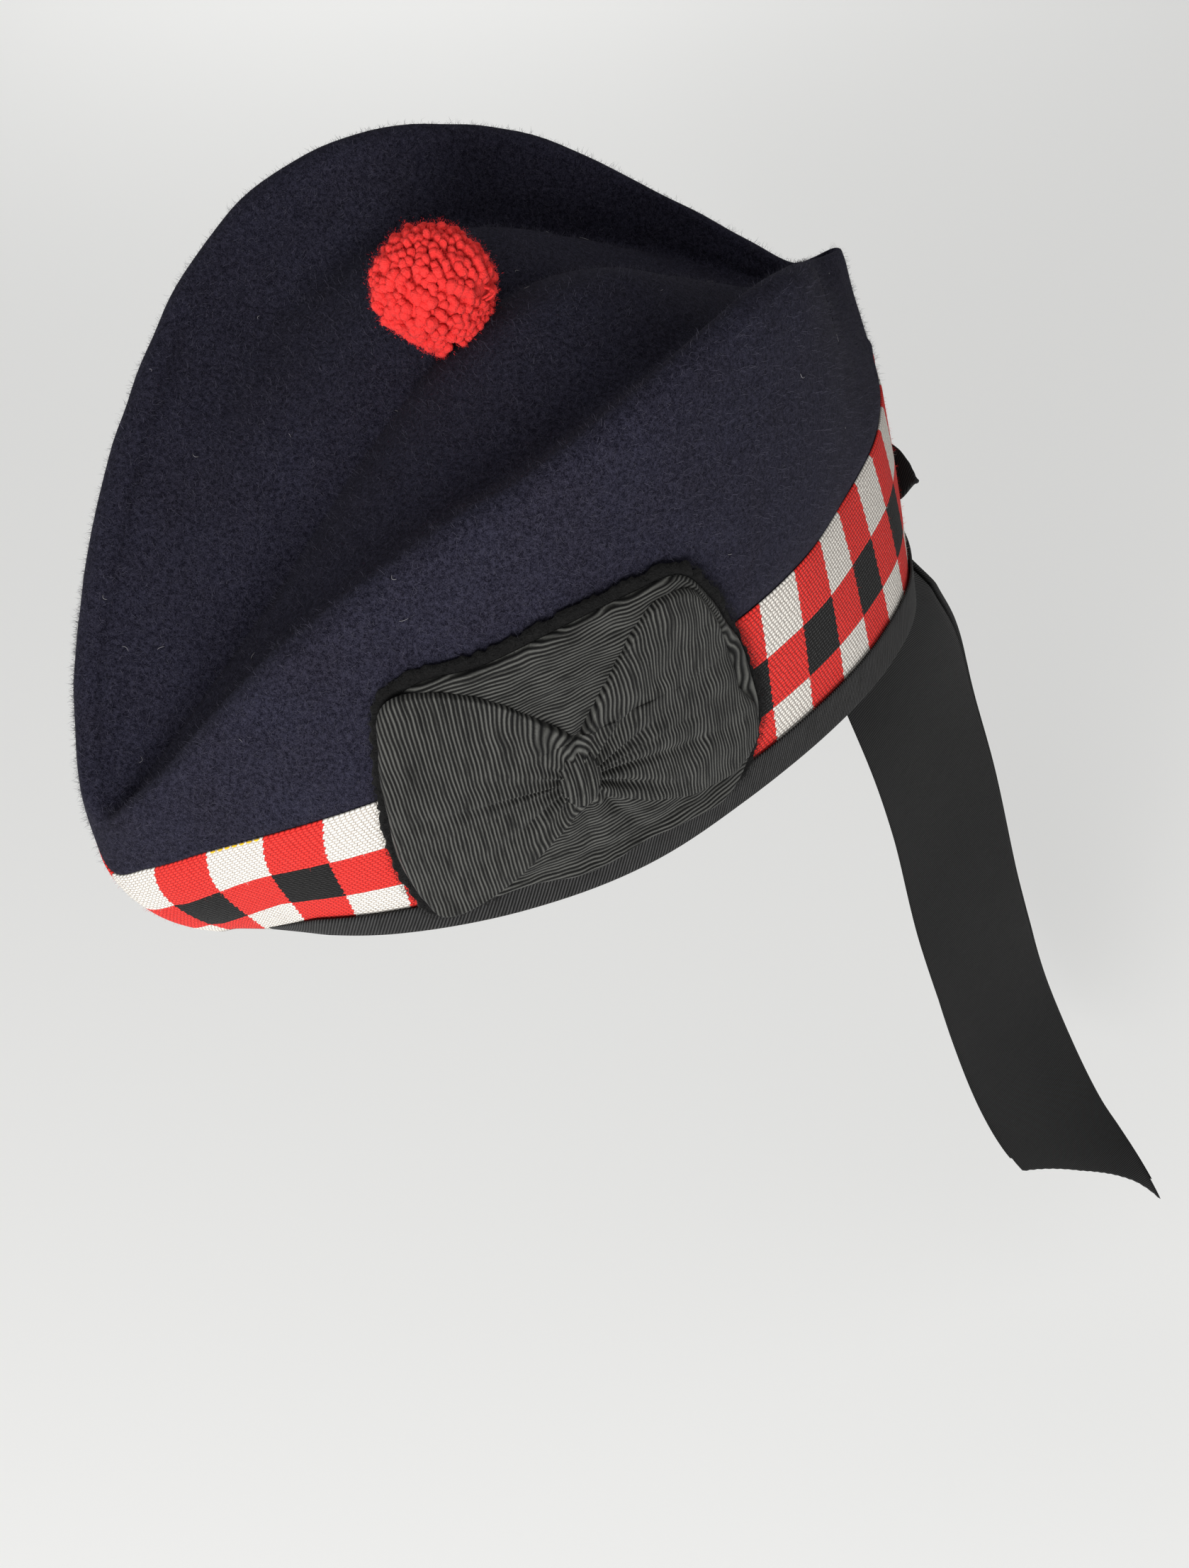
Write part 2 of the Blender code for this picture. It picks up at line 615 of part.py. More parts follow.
def make_tail(name, behind_root, behind, length_share, made, across_count=4):
    """One hanging tail. The right one lies behind the left one, by a distance that grows down its length."""
    along = np.linspace(0.0, length_share, TAIL_STATIONS)
    across = np.linspace(-0.5, 0.5, across_count + 1)
    spread = behind_root + (behind - behind_root) * np.clip(along / TAIL_SPREAD_RUN, 0.0, 1.0)
    size = 2 * (across_count + 1)
    points = []
    for share, away in zip(along, spread):
        for shares, half in ((across, RIBBON / 2), (across[::-1], -RIBBON / 2)):
            off = np.full(len(shares), away + half)
            points.append(tail_point(np.full(len(shares), share), shares, off))
    faces = [tuple(range(size - 1, -1, -1))]
    rows = [list(range(r * size, (r + 1) * size)) for r in range(len(along))]
    for row, after in zip(rows, rows[1:]):
        faces += quads_between(row, after)
    faces.append(tuple(rows[-1]))
    return add_object(name, np.concatenate(points), faces, made)


def make_tie(made, layers=4):
    """Flat tied ribbon across the back of the band. Its lower edge lies over the top of the bound edge."""
    off = GAP + BINDING_CLOTH + 2 * GAP
    rings = []
    for share, low, high in TIE_OUTLINE:
        height = np.linspace(low, high, layers + 1)
        at = np.ones_like(height)
        sag = np.array([0.0, TIE_SAG * share * share, 0.0])
        aside = np.array([TIE_HALF_LENGTH * share, 0.0, 0.0])
        face = side_off(at, height, off * at) + aside - sag
        back = side_off(at, height, (off + TIE_CLOTH) * at) + aside - sag
        rings.append(np.concatenate([back, face[::-1]]))
    size = len(rings[0])
    points = np.concatenate(rings)
    rows = [list(range(r * size, (r + 1) * size)) for r in range(len(rings))]
    faces = [tuple(rows[0][::-1])]
    for row, after in zip(rows, rows[1:]):
        faces += quads_between(row, after)
    faces.append(tuple(rows[-1]))
    return add_object("back_tie", points, faces, made)


def main():
    for obj in list(bpy.data.objects):
        bpy.data.objects.remove(obj, do_unlink=True)
    felt_cloth = material("navy_felt", (0.006, 0.008, 0.020), 0.95)
    dicing = material("red_white_black_dicing", (0.55, 0.12, 0.10), 0.85)
    black_ribbon = material("black_grosgrain", (0.012, 0.012, 0.013), 0.75)
    backing_cloth = material("black_backing_cloth", (0.010, 0.010, 0.011), 0.95)
    red_yarn = material("red_yarn", (0.70, 0.010, 0.015), 0.90)
    felt_tree = make_felt(felt_cloth)[1]
    make_band(dicing)
    make_binding(black_ribbon)
    make_rosette(backing_cloth, black_ribbon)
    make_toorie(felt_tree, red_yarn)
    make_tie(black_ribbon)
    make_tail("tail_left", 0.0, 0.0, 1.0, black_ribbon)
    make_tail("tail_right", RIBBON + LAYER_GAP, TAIL_SPREAD, RIGHT_TAIL_SHARE, black_ribbon)


main()
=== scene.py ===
"""Looks of a worn glengarry: felt cap, diced band, bound edge, rosette, toorie and ribbon tails."""

import math
from functools import partial

import bmesh
import bpy
import numpy as np
from mathutils import Matrix, Vector, noise
from mathutils.bvhtree import BVHTree


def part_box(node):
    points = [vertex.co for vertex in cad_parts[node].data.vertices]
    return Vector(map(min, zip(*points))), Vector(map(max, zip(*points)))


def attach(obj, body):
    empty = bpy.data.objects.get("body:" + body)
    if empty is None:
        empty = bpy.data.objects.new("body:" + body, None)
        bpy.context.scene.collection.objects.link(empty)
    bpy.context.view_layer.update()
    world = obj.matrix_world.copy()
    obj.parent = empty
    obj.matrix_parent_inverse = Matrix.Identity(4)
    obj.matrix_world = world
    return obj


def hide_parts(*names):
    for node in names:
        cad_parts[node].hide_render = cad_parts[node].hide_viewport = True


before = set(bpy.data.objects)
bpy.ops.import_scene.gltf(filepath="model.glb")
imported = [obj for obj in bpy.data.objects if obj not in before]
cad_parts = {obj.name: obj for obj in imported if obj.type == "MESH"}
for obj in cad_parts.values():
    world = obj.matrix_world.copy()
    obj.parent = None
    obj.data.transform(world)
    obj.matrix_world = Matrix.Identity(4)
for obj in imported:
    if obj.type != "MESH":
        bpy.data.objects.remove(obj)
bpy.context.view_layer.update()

# Sizes and section tables, as in the CAD source, apart from the band's top, which is lower in the first
# three wall rows, where the ridge rises by as much more. Table columns are shares of the sizes above them.
RIM_LENGTH = 0.2008
RIM_WIDTH = 0.1528
RIM_LIFT = 0.0204
BAND_RISE = 0.0465
BAND_TOP_LENGTH = 0.2415
BAND_TOP_WIDTH = 0.1456
BAND_BULGE = 0.0040
CROWN_LENGTH = 0.2340
CROWN_WIDTH = 0.1260
WALL_RISE = 0.0660
WALL_BULGE = 0.0020
CROWN_DIP = 0.0240
FOLD_RADIUS = 0.0045
GAP = 0.0003
FELT = 0.0020
BAND_CLOTH = 0.0010
BINDING_CLOTH = 0.0010
BINDING_SHARE = 0.23
EDGE_SHARE = 0.035
RIBBON = 0.0010
ROSETTE_AROUND = 0.361
ROSETTE_UP = 0.0360
ROSETTE_LENGTH = 0.0960
ROSETTE_CLOTH = 0.0010
ROSETTE_SEAT = 0.0010
LAYER_GAP = 0.0009
LIP_RUN = 0.0040
KNOT_LENGTH = 0.0090
KNOT_HEIGHT = 0.0140
KNOT_RISE = 0.0030
TOORIE_WIDTH = 0.0300
TOORIE_HEIGHT = 0.0300
TAIL_WIDTH = 0.0375
TAIL_LENGTH = 0.3350
TAIL_SLANT = 0.0340
TAIL_SPREAD = 0.0030
TAIL_SPREAD_RUN = 0.30
RIGHT_TAIL_SHARE = 0.985
TAIL_ROOT_ASIDE = 0.0090
TAIL_ROOT_SHARE = 0.13
TIE_HALF_LENGTH = 0.0284
TIE_CLOTH = 0.0020
TIE_SAG = 0.0050
STATION_CROWDING = 0.055
SHOULDER_OUT = 0.68
SHOULDER_DOWN = 0.28
PAST_RIDGE = 0.65
PAST_RIDGE_DROP = 0.30
HIP_BOW = 0.06
SLOPE_BOW = 0.18

WALL_COLUMNS = (
    "around", "rim_x", "rim_y", "rim_z", "top_x", "top_y", "top_rise", "bulge",
    "ridge_x", "ridge_y", "ridge_rise", "fold",
)
WALL_SECTIONS = (
    (0.00, 0.00, -1.00, -0.61, 0.00, -1.00, 0.745, 1.00, 0.00, -1.00, 0.239, 0.50),
    (0.04, 0.09, -0.98, -0.43, 0.15, -0.97, 0.785, 0.90, 0.09, -0.99, 0.222, 0.55),
    (0.10, 0.26, -0.92, -0.23, 0.35, -0.89, 0.875, 0.60, 0.26, -0.91, 0.301, 0.75),
    (0.20, 0.55, -0.78, -0.01, 0.63, -0.72, 0.97, 0.30, 0.50, -0.72, 0.52, 1.00),
    (0.30, 0.80, -0.57, 0.18, 0.82, -0.51, 1.00, 0.15, 0.74, -0.50, 0.71, 1.10),
    (0.40, 0.96, -0.32, 0.32, 0.95, -0.27, 1.00, 0.10, 0.94, -0.27, 0.86, 1.05),
    (0.50, 1.00, -0.04, 0.39, 1.00, -0.03, 1.00, 0.10, 1.00, -0.035, 0.965, 1.00),
    (0.60, 0.97, 0.25, 0.33, 0.93, 0.22, 0.99, 0.15, 0.93, 0.215, 1.00, 0.90),
    (0.70, 0.88, 0.53, 0.19, 0.77, 0.44, 0.98, 0.20, 0.73, 0.445, 0.89, 0.90),
    (0.80, 0.70, 0.78, -0.01, 0.57, 0.66, 0.98, 0.25, 0.38, 0.635, 0.66, 0.80),
    (0.88, 0.46, 0.93, -0.21, 0.37, 0.81, 0.98, 0.30, 0.14, 0.78, 0.52, 0.62),
    (0.94, 0.24, 0.99, -0.34, 0.19, 0.91, 0.96, 0.30, 0.07, 0.87, 0.48, 0.52),
    (1.00, 0.00, 1.00, -0.43, 0.00, 1.00, 0.91, 0.20, 0.00, 0.93, 0.49, 0.48),
)
CROWN_COLUMNS = ("around", "foot_at", "foot_dip", "lobe_at", "lobe_dip", "crease_y", "crease_dip")
CROWN_SECTIONS = (
    (0.00, 0.45, 0.00, 0.70, 0.00, -0.94, -0.03),
    (0.04, 0.42, 0.05, 0.68, 0.06, -0.90, 0.04),
    (0.10, 0.36, 0.18, 0.62, 0.27, -0.82, 0.38),
    (0.20, 0.34, 0.34, 0.56, 0.50, -0.64, 0.84),
    (0.30, 0.30, 0.38, 0.58, 0.52, -0.45, 0.97),
    (0.40, 0.28, 0.50, 0.68, 0.52, -0.26, 0.88),
    (0.50, 0.27, 0.60, 0.68, 0.32, -0.05, 0.72),
    (0.60, 0.27, 0.78, 0.66, 0.36, 0.15, 0.68),
    (0.70, 0.28, 0.80, 0.62, 0.46, 0.34, 0.68),
    (0.80, 0.32, 0.44, 0.58, 0.35, 0.55, 0.46),
    (0.88, 0.38, 0.20, 0.62, 0.22, 0.70, 0.27),
    (0.94, 0.42, 0.09, 0.68, 0.10, 0.79, 0.13),
    (1.00, 0.45, 0.03, 0.70, 0.03, 0.86, 0.03),
)
# Outlines of the rosette's cloth, finer than in the CAD source: direction from the knot in degrees, 0 to
# the back and 90 up, and the reach as a share of half ROSETTE_LENGTH
BACKING_OUTLINE = (
    (0, 0.98), (23, 0.95), (35, 0.97), (51, 1.00), (63, 0.91), (89, 0.80),
    (112, 0.82), (132, 1.00), (152, 0.90), (165, 0.87), (184, 0.87), (204, 0.93),
    (216, 0.95), (231, 0.66), (265, 0.55), (310, 0.68), (328, 1.00), (345, 1.04),
)
UPRIGHT_OUTLINE = (
    (0, 0.93), (12, 0.92), (23, 0.90), (35, 0.92), (51, 0.95), (63, 0.86), (89, 0.75), (112, 0.77),
    (132, 0.93), (150, 0.78), (165, 0.50), (185, 0.40), (205, 0.60), (216, 0.80), (231, 0.64), (265, 0.55),
    (308, 0.67), (324, 0.90), (336, 0.97), (348, 0.97),
)
CROSS_OUTLINE = (
    (0, 0.83), (10, 0.83), (20, 0.84), (34, 0.88), (50, 0.90), (59, 0.78), (67, 0.45), (78, 0.24),
    (93, 0.27), (107, 0.42), (119, 0.70), (132, 0.96), (147, 0.90), (165, 0.83), (184, 0.83), (198, 0.85),
    (207, 0.88), (215, 0.885), (224, 0.68), (236, 0.36), (252, 0.22), (285, 0.18), (312, 0.34), (324, 0.72),
    (336, 0.94), (348, 0.94),
)
# The tails' route and the tie's outline, as in the CAD source
TAIL_COLUMNS = ("along", "left", "back", "down", "turn")
TAIL_ROUTE = (
    (0.000, 0.000, 0.000, 0.000, 0.0),
    (0.100, 0.003, 0.012, 0.090, 24.0),
    (0.230, 0.022, 0.036, 0.205, 64.0),
    (0.385, 0.046, 0.063, 0.353, 73.0),
    (0.540, 0.066, 0.079, 0.504, 72.0),
    (0.690, 0.096, 0.101, 0.651, 70.0),
    (0.845, 0.141, 0.126, 0.793, 52.0),
    (1.000, 0.202, 0.162, 0.897, 22.0),
)
TIE_OUTLINE = (
    (-1.00, 0.465, 0.49), (-0.88, 0.34, 0.52), (-0.74, 0.26, 0.545), (-0.22, 0.22, 0.54),
    (0.22, 0.22, 0.54), (0.74, 0.26, 0.545), (0.88, 0.34, 0.52), (1.00, 0.465, 0.49),
)

# Detail that only the looks have. Leans, lifts, drops, rises and pushes are in metres, each with its share
# of the way round
RIDGE_LEAN = ((0.0, 0.0), (0.60, 0.0), (0.80, 0.0010), (0.88, 0.0070), (0.94, 0.0036), (1.0, 0.0))
RIGHT_RIDGE_LIFT = (
    (0.0, 0.0), (0.50, -0.0008), (0.60, -0.0012), (0.68, 0.0), (0.76, 0.0026), (0.82, 0.0013),
    (0.90, -0.0040), (1.0, 0.0),
)
RIGHT_LOBE_DROP = (
    (0.0, 0.0), (0.30, 0.0), (0.45, 0.0028), (0.62, 0.0040), (0.76, 0.0034), (0.90, 0.0010), (1.0, 0.0),
)
BACK_TIP_RISE = ((0.0, 0.0), (0.84, 0.0), (0.91, 0.0004), (0.96, 0.0012), (1.0, 0.0013))
BACK_TIP_PUSH = ((0.0, 0.0), (0.84, 0.0), (0.91, 0.0006), (0.96, 0.0016), (1.0, 0.0018))
# Shares and steps for the felt's rows of points, from its lower edge over the ridge to the crease
LIFT_SHARES = (0, 0, 0, 0, 0, 0.12, 0.5, 0.85, 1, 1, 1, 1, 1, 0.9, 0.6, 0.35, 0.2, 0.1, 0.03, 0)
DROP_SHARES = (0, 0, 0, 0, 0, 0, 0, 0, 0, 0, 0, 0, 0.05, 0.3, 0.6, 0.85, 1, 0.6, 0.15, 0)
RIGHT_LEAN_SHARES = (0, 0, 0, 0, 0, 0.12, 0.5, 0.85, 1, 1, 1, 1, 1, 0.95, 0.85, 0.75, 0.65, 0.6, 0.52, 0.5)
LEFT_LEAN_SHARES = (0, 0, 0, 0, 0, 0, 0, 0, 0, 0, 0, 0, 0, 0.05, 0.15, 0.25, 0.35, 0.4, 0.48, 0.5)
FELT_CUTS = (2, 2, 2, 3, 3, 6, 6, 4, 4, 4, 3, 3, 5, 6, 5, 6, 8, 6, 4)

# Felt
HALF_STATIONS = 120
FELT_BLURS = 14
FELT_SMOOTH_SHARE = 0.13
FELT_BARE_ROW = 9
LINT_COUNT = 45
LINT_RADIUS = 0.000035

# Checks, weave and stitches of the band, and the shares between which the bound edge widens
CHECKS_PER_HALF = 21.85
CHECK_LENGTH = 0.0135
ROW_BORDERS = (0.12, 0.41, 0.70, 1.0)
FRONT_CHECK_SHIFT = 0.81
FRONT_CHECK_LEAN = 1.8
LEAN_END = 0.45
LEAN_RUN = 0.25
FRONT_ROW_SINK = 0.23
SINK_END = 0.12
SINK_RUN = 0.07
GRANULE_LENGTH = 0.00122
GRANULE_HEIGHT = 0.00080
GRANULE_STEP = 0.34
STITCH_COLUMNS = (1.06, 1.96)
STITCH_COUNT = 7
STITCH_RADIUS = 0.00025
BINDING_TUCK_START = 0.065
BINDING_TUCK_END = 0.138

# Ribs, rosette and knot
RIB_PITCH = 0.00080
ROSETTE_ROUNDING = 0.0012
ROSETTE_TURNS = 260
ROSETTE_LAYERS = 52
KNOT_TURNS = 72
KNOT_LAYERS = 16
KNOT_PLEAT = 0.0006
KNOT_PLEAT_PITCH = 0.0023
KNOT_BOW = 6.0

# Yarn, with sizes of dents as a depth, a width in radians and a height
NUB_RADIUS = 0.00118
NUB_STEM = 0.0048
NUB_COUNT = 600
NUB_SIDES = 10
NUB_RINGS = 7
NUB_SCATTER = 0.07
NUB_REACH_SPREAD = 0.024
NUB_WAY_SPREAD = 0.0011
NUB_LUMPS = 0.13
LOW_NUB_HEIGHT = -0.15
FOOT_NARROWING = 0.28
FOOT_DEEPENING = 0.20
TOORIE_NOTCH = math.radians(27.0)
TOORIE_NOTCH_HEIGHT = 0.20
TOORIE_LOW_DENT_HEIGHT = -0.18
NOTCH_SIZES = (0.55, 0.21, 0.13)
LOW_DENT_SIZES = (0.13, 0.60, 0.26)
TOORIE_SHIFT = (0.0, 0.0005, 0.0009)
TOORIE_SLIMMER = 0.94
TOORIE_FOOT_ASIDE = (0.0034, 0.0040, 0.0)

# Tails and tie
TAIL_GATHER = 0.36
TAIL_GATHER_RUN = 0.10
TAIL_END_CUT = (
    (-0.5, -0.0030), (-0.3, -0.0012), (-0.1, 0.0008), (0.15, 0.0002), (0.32, 0.0003), (0.5, 0.0023),
)
TAIL_TEETH = 0.0007
TAIL_WAVE = 0.0006
TAIL_CURL = 0.0022
TAIL_RIB_SLANT = 0.60
RIGHT_TAIL_ASIDE = ((0.0, 0.0), (0.25, 0.04), (0.6, 0.045), (0.8, 0.0), (1.0, -0.045))
TAIL_STEPS = 230
TAIL_CELLS = 38
TAIL_HALF_CLOTH = 0.00032
TIE_COLUMNS = 90
TIE_TURNS = 28
TIE_PINCH = 0.14
TIE_FOLD = 0.0004
TIE_FOLD_PITCH = 0.11

# Ripples: height, size of their features, both in metres, and a place in the noise
FELT_DENTS = ((0.0009, 0.045, 3.0), (0.00035, 0.012, 8.0))
BAND_PUFF = ((0.00018, 0.02, 5.0),)
BINDING_PUFF = ((0.00015, 0.02, 12.0),)
ROSETTE_SWAY = ((0.0010, 0.011, 2.0), (0.0005, 0.0045, 6.0))

# Short fibres: count, length and width in metres, how steeply they stand, and their curl
FIBRES = {
    "felt_nap": (60000, 0.0013, 0.00005, 0.45, 0.9),
    "felt_fluff": (30000, 0.0019, 0.00005, 1.1, 0.9),
    "diced_band_hairs": (9000, 0.0011, 0.00004, 0.9, 0.9),
    "rosette_backing_fuzz": (14000, 0.0015, 0.00006, 0.7, 0.9),
    "toorie_fuzz": (26000, 0.0007, 0.00004, 0.6, 1.0),
}

# Valleys in the rosette's bows: direction from the knot, its turn towards the outline and its width, all in
# degrees, and its depth in metres
UPRIGHT_CREASES = (
    (66, -20, 4, 0.0011), (100, 0, 7, 0.0005), (122, 0, 5, 0.0006), (20, 0, 5, 0.0008), (242, -19, 4, 0.0011),
    (270, 0, 7, 0.0005), (299, 0, 5, 0.0011),
)
CROSS_CREASES = (
    (171, 0, 3, 0.0015), (182, 0, 8, 0.0004), (152, 0, 6, 0.0005), (207, 0, 5, 0.0007), (348, 0, 3, 0.0011),
    (325, 0, 4, 0.0016), (14, 0, 5, 0.0009), (2, 0, 3, 0.0006), (38, 0, 5, 0.0008),
)
MIRROR = np.array([-1.0, 1.0, 1.0])
random = np.random.default_rng(7)


# Curves and the form of the hat
def mean_slopes(slope, step):
    """Slope at each inner point, from the steps before and after it."""
    return (slope[:-1] * step[1:] + slope[1:] * step[:-1]) / (step[:-1] + step[1:])


def cubic(t, step, ends, slopes):
    """Cubic step between two ends with their slopes, at a share t of it."""
    start = (2 * t**3 - 3 * t**2 + 1) * ends[0] + (t**3 - 2 * t**2 + t) * step * slopes[0]
    end = (3 * t**2 - 2 * t**3) * ends[1] + (t**3 - t**2) * step * slopes[1]
    return start + end


def smooth(knots, values, at, odd=False):
    """Cubic curve through a table's values, carried past both ends as a mirror image, or turned about each
    end point where odd is set."""
    knots = np.asarray(knots, float)
    values = np.asarray(values, float)
    k = np.concatenate([2 * knots[0] - knots[2:0:-1], knots, 2 * knots[-1] - knots[-2:-4:-1]])
    before, after = values[2:0:-1], values[-2:-4:-1]
    if odd:
        before, after = 2 * values[0] - before, 2 * values[-1] - after
    v = np.concatenate([before, values, after])
    step = np.diff(k)
    tangent = mean_slopes(np.diff(v) / step, step)
    at = np.asarray(at, float)
    i = np.clip(np.searchsorted(k, at, side="right") - 1, 1, len(k) - 3)
    return cubic((at - k[i]) / step[i], step[i], (v[i], v[i + 1]), (tangent[i - 1], tangent[i]))


def section(name, around):
    of_wall = name in WALL_COLUMNS
    columns = WALL_COLUMNS if of_wall else CROWN_COLUMNS
    rows = WALL_SECTIONS if of_wall else CROWN_SECTIONS
    values = [row[columns.index(name)] for row in rows]
    return smooth([row[0] for row in rows], values, around, odd=name.endswith("_x"))


def vectors(x, y, z):
    return np.stack(np.broadcast_arrays(x, y, z), axis=-1).astype(float)


def unit(v):
    return v / np.maximum(np.linalg.norm(v, axis=-1, keepdims=True), 1e-12)


def rim_line(around):
    x = section("rim_x", around) * RIM_WIDTH / 2
    y = section("rim_y", around) * RIM_LENGTH / 2
    return vectors(x, y, section("rim_z", around) * RIM_LIFT)


def top_line(around):
    x = section("top_x", around) * BAND_TOP_WIDTH / 2
    y = section("top_y", around) * BAND_TOP_LENGTH / 2
    z = section("rim_z", around) * RIM_LIFT + section("top_rise", around) * BAND_RISE
    return vectors(x, y, z)


def ridge_line(around):
    x = section("ridge_x", around) * CROWN_WIDTH / 2
    y = section("ridge_y", around) * CROWN_LENGTH / 2
    z = top_line(around)[..., 2] + section("ridge_rise", around) * WALL_RISE
    return vectors(x, y, z)


def crease_line(around):
    y = section("crease_y", around) * CROWN_LENGTH / 2
    z = ridge_line(around)[..., 2] - section("crease_dip", around) * CROWN_DIP
    return vectors(0.0 * y, y, z)


def inward(around):
    way = crease_line(around) - ridge_line(around)
    way[..., 2] = 0.0
    return unit(way)


def outward(around):
    step = 1e-3
    run = top_line(around + step) - top_line(around - step)
    return unit(vectors(run[..., 1], -run[..., 0], 0.0))


def fold_point(around, out_share, down_share):
    radius = section("fold", around) * FOLD_RADIUS
    down = vectors(0.0, 0.0, -1.0)
    reach = radius[..., None]
    return ridge_line(around) - inward(around) * reach * out_share + down * reach * down_share


def side(around, height):
    """Outer face of the side wall: height 0 at the rim, 1 at the band's top, 2 outside the ridge."""
    around, height = np.broadcast_arrays(np.asarray(around, float), np.asarray(height, float))
    lower = np.clip(height, None, 1.0)[..., None]
    upper = np.clip(height - 1.0, 0.0, 1.0)[..., None]
    top = top_line(around)
    band = rim_line(around) + (top - rim_line(around)) * lower
    band_bulge = section("bulge", around)[..., None] * BAND_BULGE * 4 * lower * (1 - lower)
    wall = (fold_point(around, 1.0, 1.0) - top) * upper
    wall_bulge = np.sin(np.pi * around)[..., None] * WALL_BULGE * 4 * upper * (1 - upper)
    return band + wall + outward(around) * (band_bulge * (upper == 0) + wall_bulge)


def side_off(around, height, off):
    """The side wall's outer face moved off along its own normal, outwards where off is positive."""
    around, height = np.broadcast_arrays(np.asarray(around, float), np.asarray(height, float))
    step = 2e-3
    run = side(around + step, height) - side(around - step, height)
    rise = side(around, height + step) - side(around, height - step)
    return side(around, height) + unit(np.cross(run, rise)) * np.asarray(off, float)[..., None]


def wall_length(around):
    return np.linalg.norm(fold_point(around, 1.0, 1.0) - top_line(around), axis=-1)


def band_length(around):
    return np.linalg.norm(top_line(around) - rim_line(around), axis=-1)


def half_loop_length():
    points = side(np.linspace(0.0, 1.0, 121), 0.5)
    return float(np.linalg.norm(np.diff(points, axis=0), axis=1).sum())


HALF_LOOP = half_loop_length()


def stations():
    """Shares of the way round one half, crowded at its ends."""
    even = np.linspace(0.0, 1.0, HALF_STATIONS + 1)
    return even - STATION_CROWDING * np.sin(2 * np.pi * even)


def whole_loop(half):
    """Both halves of a ring of points, from the front along the wearer's left and back round the right."""
    return np.concatenate([half, half[-2:0:-1] * MIRROR])


def turn_angles(count):
    return np.linspace(0.0, 2 * np.pi, count, endpoint=False)


def ripples(points, kinds):
    """Smooth noise at each point, added up over its kinds."""
    total = np.zeros(points.shape[:-1])
    for height, size, seed in kinds:
        flat = points.reshape(-1, 3)
        values = [noise.noise(Vector((x / size + seed, y / size, z / size))) for x, y, z in flat]
        total += height * np.array(values).reshape(total.shape)
    return total


# Meshes
def add_mesh(name, points, faces, made, uv=None):
    """A mesh piece from points and faces. uv gives one pair for each point."""
    mesh = bpy.data.meshes.new(name)
    mesh.from_pydata(np.asarray(points).reshape(-1, 3).tolist(), [], [list(face) for face in faces])
    if uv is not None:
        layer = mesh.uv_layers.new(name="UVMap")
        corners = np.zeros(len(mesh.loops), np.int32)
        mesh.loops.foreach_get("vertex_index", corners)
        layer.data.foreach_set("uv", np.asarray(uv, np.float32).reshape(-1, 2)[corners].ravel())
    mesh.materials.append(made)
    mesh.shade_smooth()
    mesh.update()
    obj = bpy.data.objects.new(name, mesh)
    bpy.context.scene.collection.objects.link(obj)
    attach(obj, "root")
    return obj


def grid_faces(rows, columns, closed_rows=False, closed_columns=False, first=0):
    """Faces of a grid of point numbers, row by row. A closed direction joins its last line to its first."""
    row_count = rows if closed_rows else rows - 1
    column_count = columns if closed_columns else columns - 1
    r, c = np.meshgrid(np.arange(row_count), np.arange(column_count), indexing="ij")
    r, c = r.ravel(), c.ravel()
    below, beside = (r + 1) % rows, (c + 1) % columns
    ends = (r * columns + c, r * columns + beside, below * columns + beside, below * columns + c)
    return (np.stack(ends, axis=1) + first).tolist()


def tube_faces(rows, sides, first=0):
    """Faces of a tube of rings, closed by a flat cap at each end."""
    caps = [[first + i for i in range(sides)][::-1], [first + (rows - 1) * sides + i for i in range(sides)]]
    return grid_faces(rows, sides, closed_columns=True, first=first) + caps


def far_faces(faces, offset):
    """The same faces on a second layer of points, turned to face the other way."""
    return [[i + offset for i in face[::-1]] for face in faces]


def sheet_faces(rows, columns):
    """Faces of two layers of a grid, joined along their border."""
    faces = grid_faces(rows, columns)
    offset = rows * columns
    faces += far_faces(faces, offset)
    border = list(range(columns)) + [r * columns + columns - 1 for r in range(1, rows)]
    border += [(rows - 1) * columns + c for c in range(columns - 2, -1, -1)]
    border += [r * columns for r in range(rows - 2, 0, -1)]
    for i, a in enumerate(border):
        b = border[(i + 1) % len(border)]
        faces.append([b, a, a + offset, b + offset])
    return faces


def grid_normals(points):
    """Unit normals of a grid of points with closed rings, from the lines through each point's neighbours."""
    down = np.gradient(points, axis=0)
    beside = (np.roll(points, -1, axis=1) - np.roll(points, 1, axis=1)) / 2
    return unit(np.cross(beside, down))


def blur_normals(normals):
    """Normals evened out with those of their neighbours, several times over."""
    for _ in range(FELT_BLURS):
        blurred = normals + np.roll(normals, 1, axis=1) + np.roll(normals, -1, axis=1)
        blurred[1:] += normals[:-1]
        blurred[:-1] += normals[1:]
        normals = unit(blurred)
    return normals


# Materials
def new_material(name, colour, roughness, sheen=0.0, sheen_tint=(1.0, 1.0, 1.0), specular=0.3):
    made = bpy.data.materials.new(name)
    made.use_nodes = True
    shader = made.node_tree.nodes["Principled BSDF"]
    shader.inputs["Base Color"].default_value = (*colour, 1.0)
    shader.inputs["Roughness"].default_value = roughness
    shader.inputs["Metallic"].default_value = 0.0
    shader.inputs["Specular IOR Level"].default_value = specular
    shader.inputs["Sheen Weight"].default_value = sheen
    shader.inputs["Sheen Roughness"].default_value = 0.5
    shader.inputs["Sheen Tint"].default_value = (*sheen_tint, 1.0)
    return made, made.node_tree, shader


def add_node(tree, kind, **values):
    """A shader node, with its sockets or properties set by name."""
    node = tree.nodes.new(kind)
    for key, value in values.items():
        if key in node.inputs:
            node.inputs[key].default_value = value
        else:
            setattr(node, key, value)
    return node


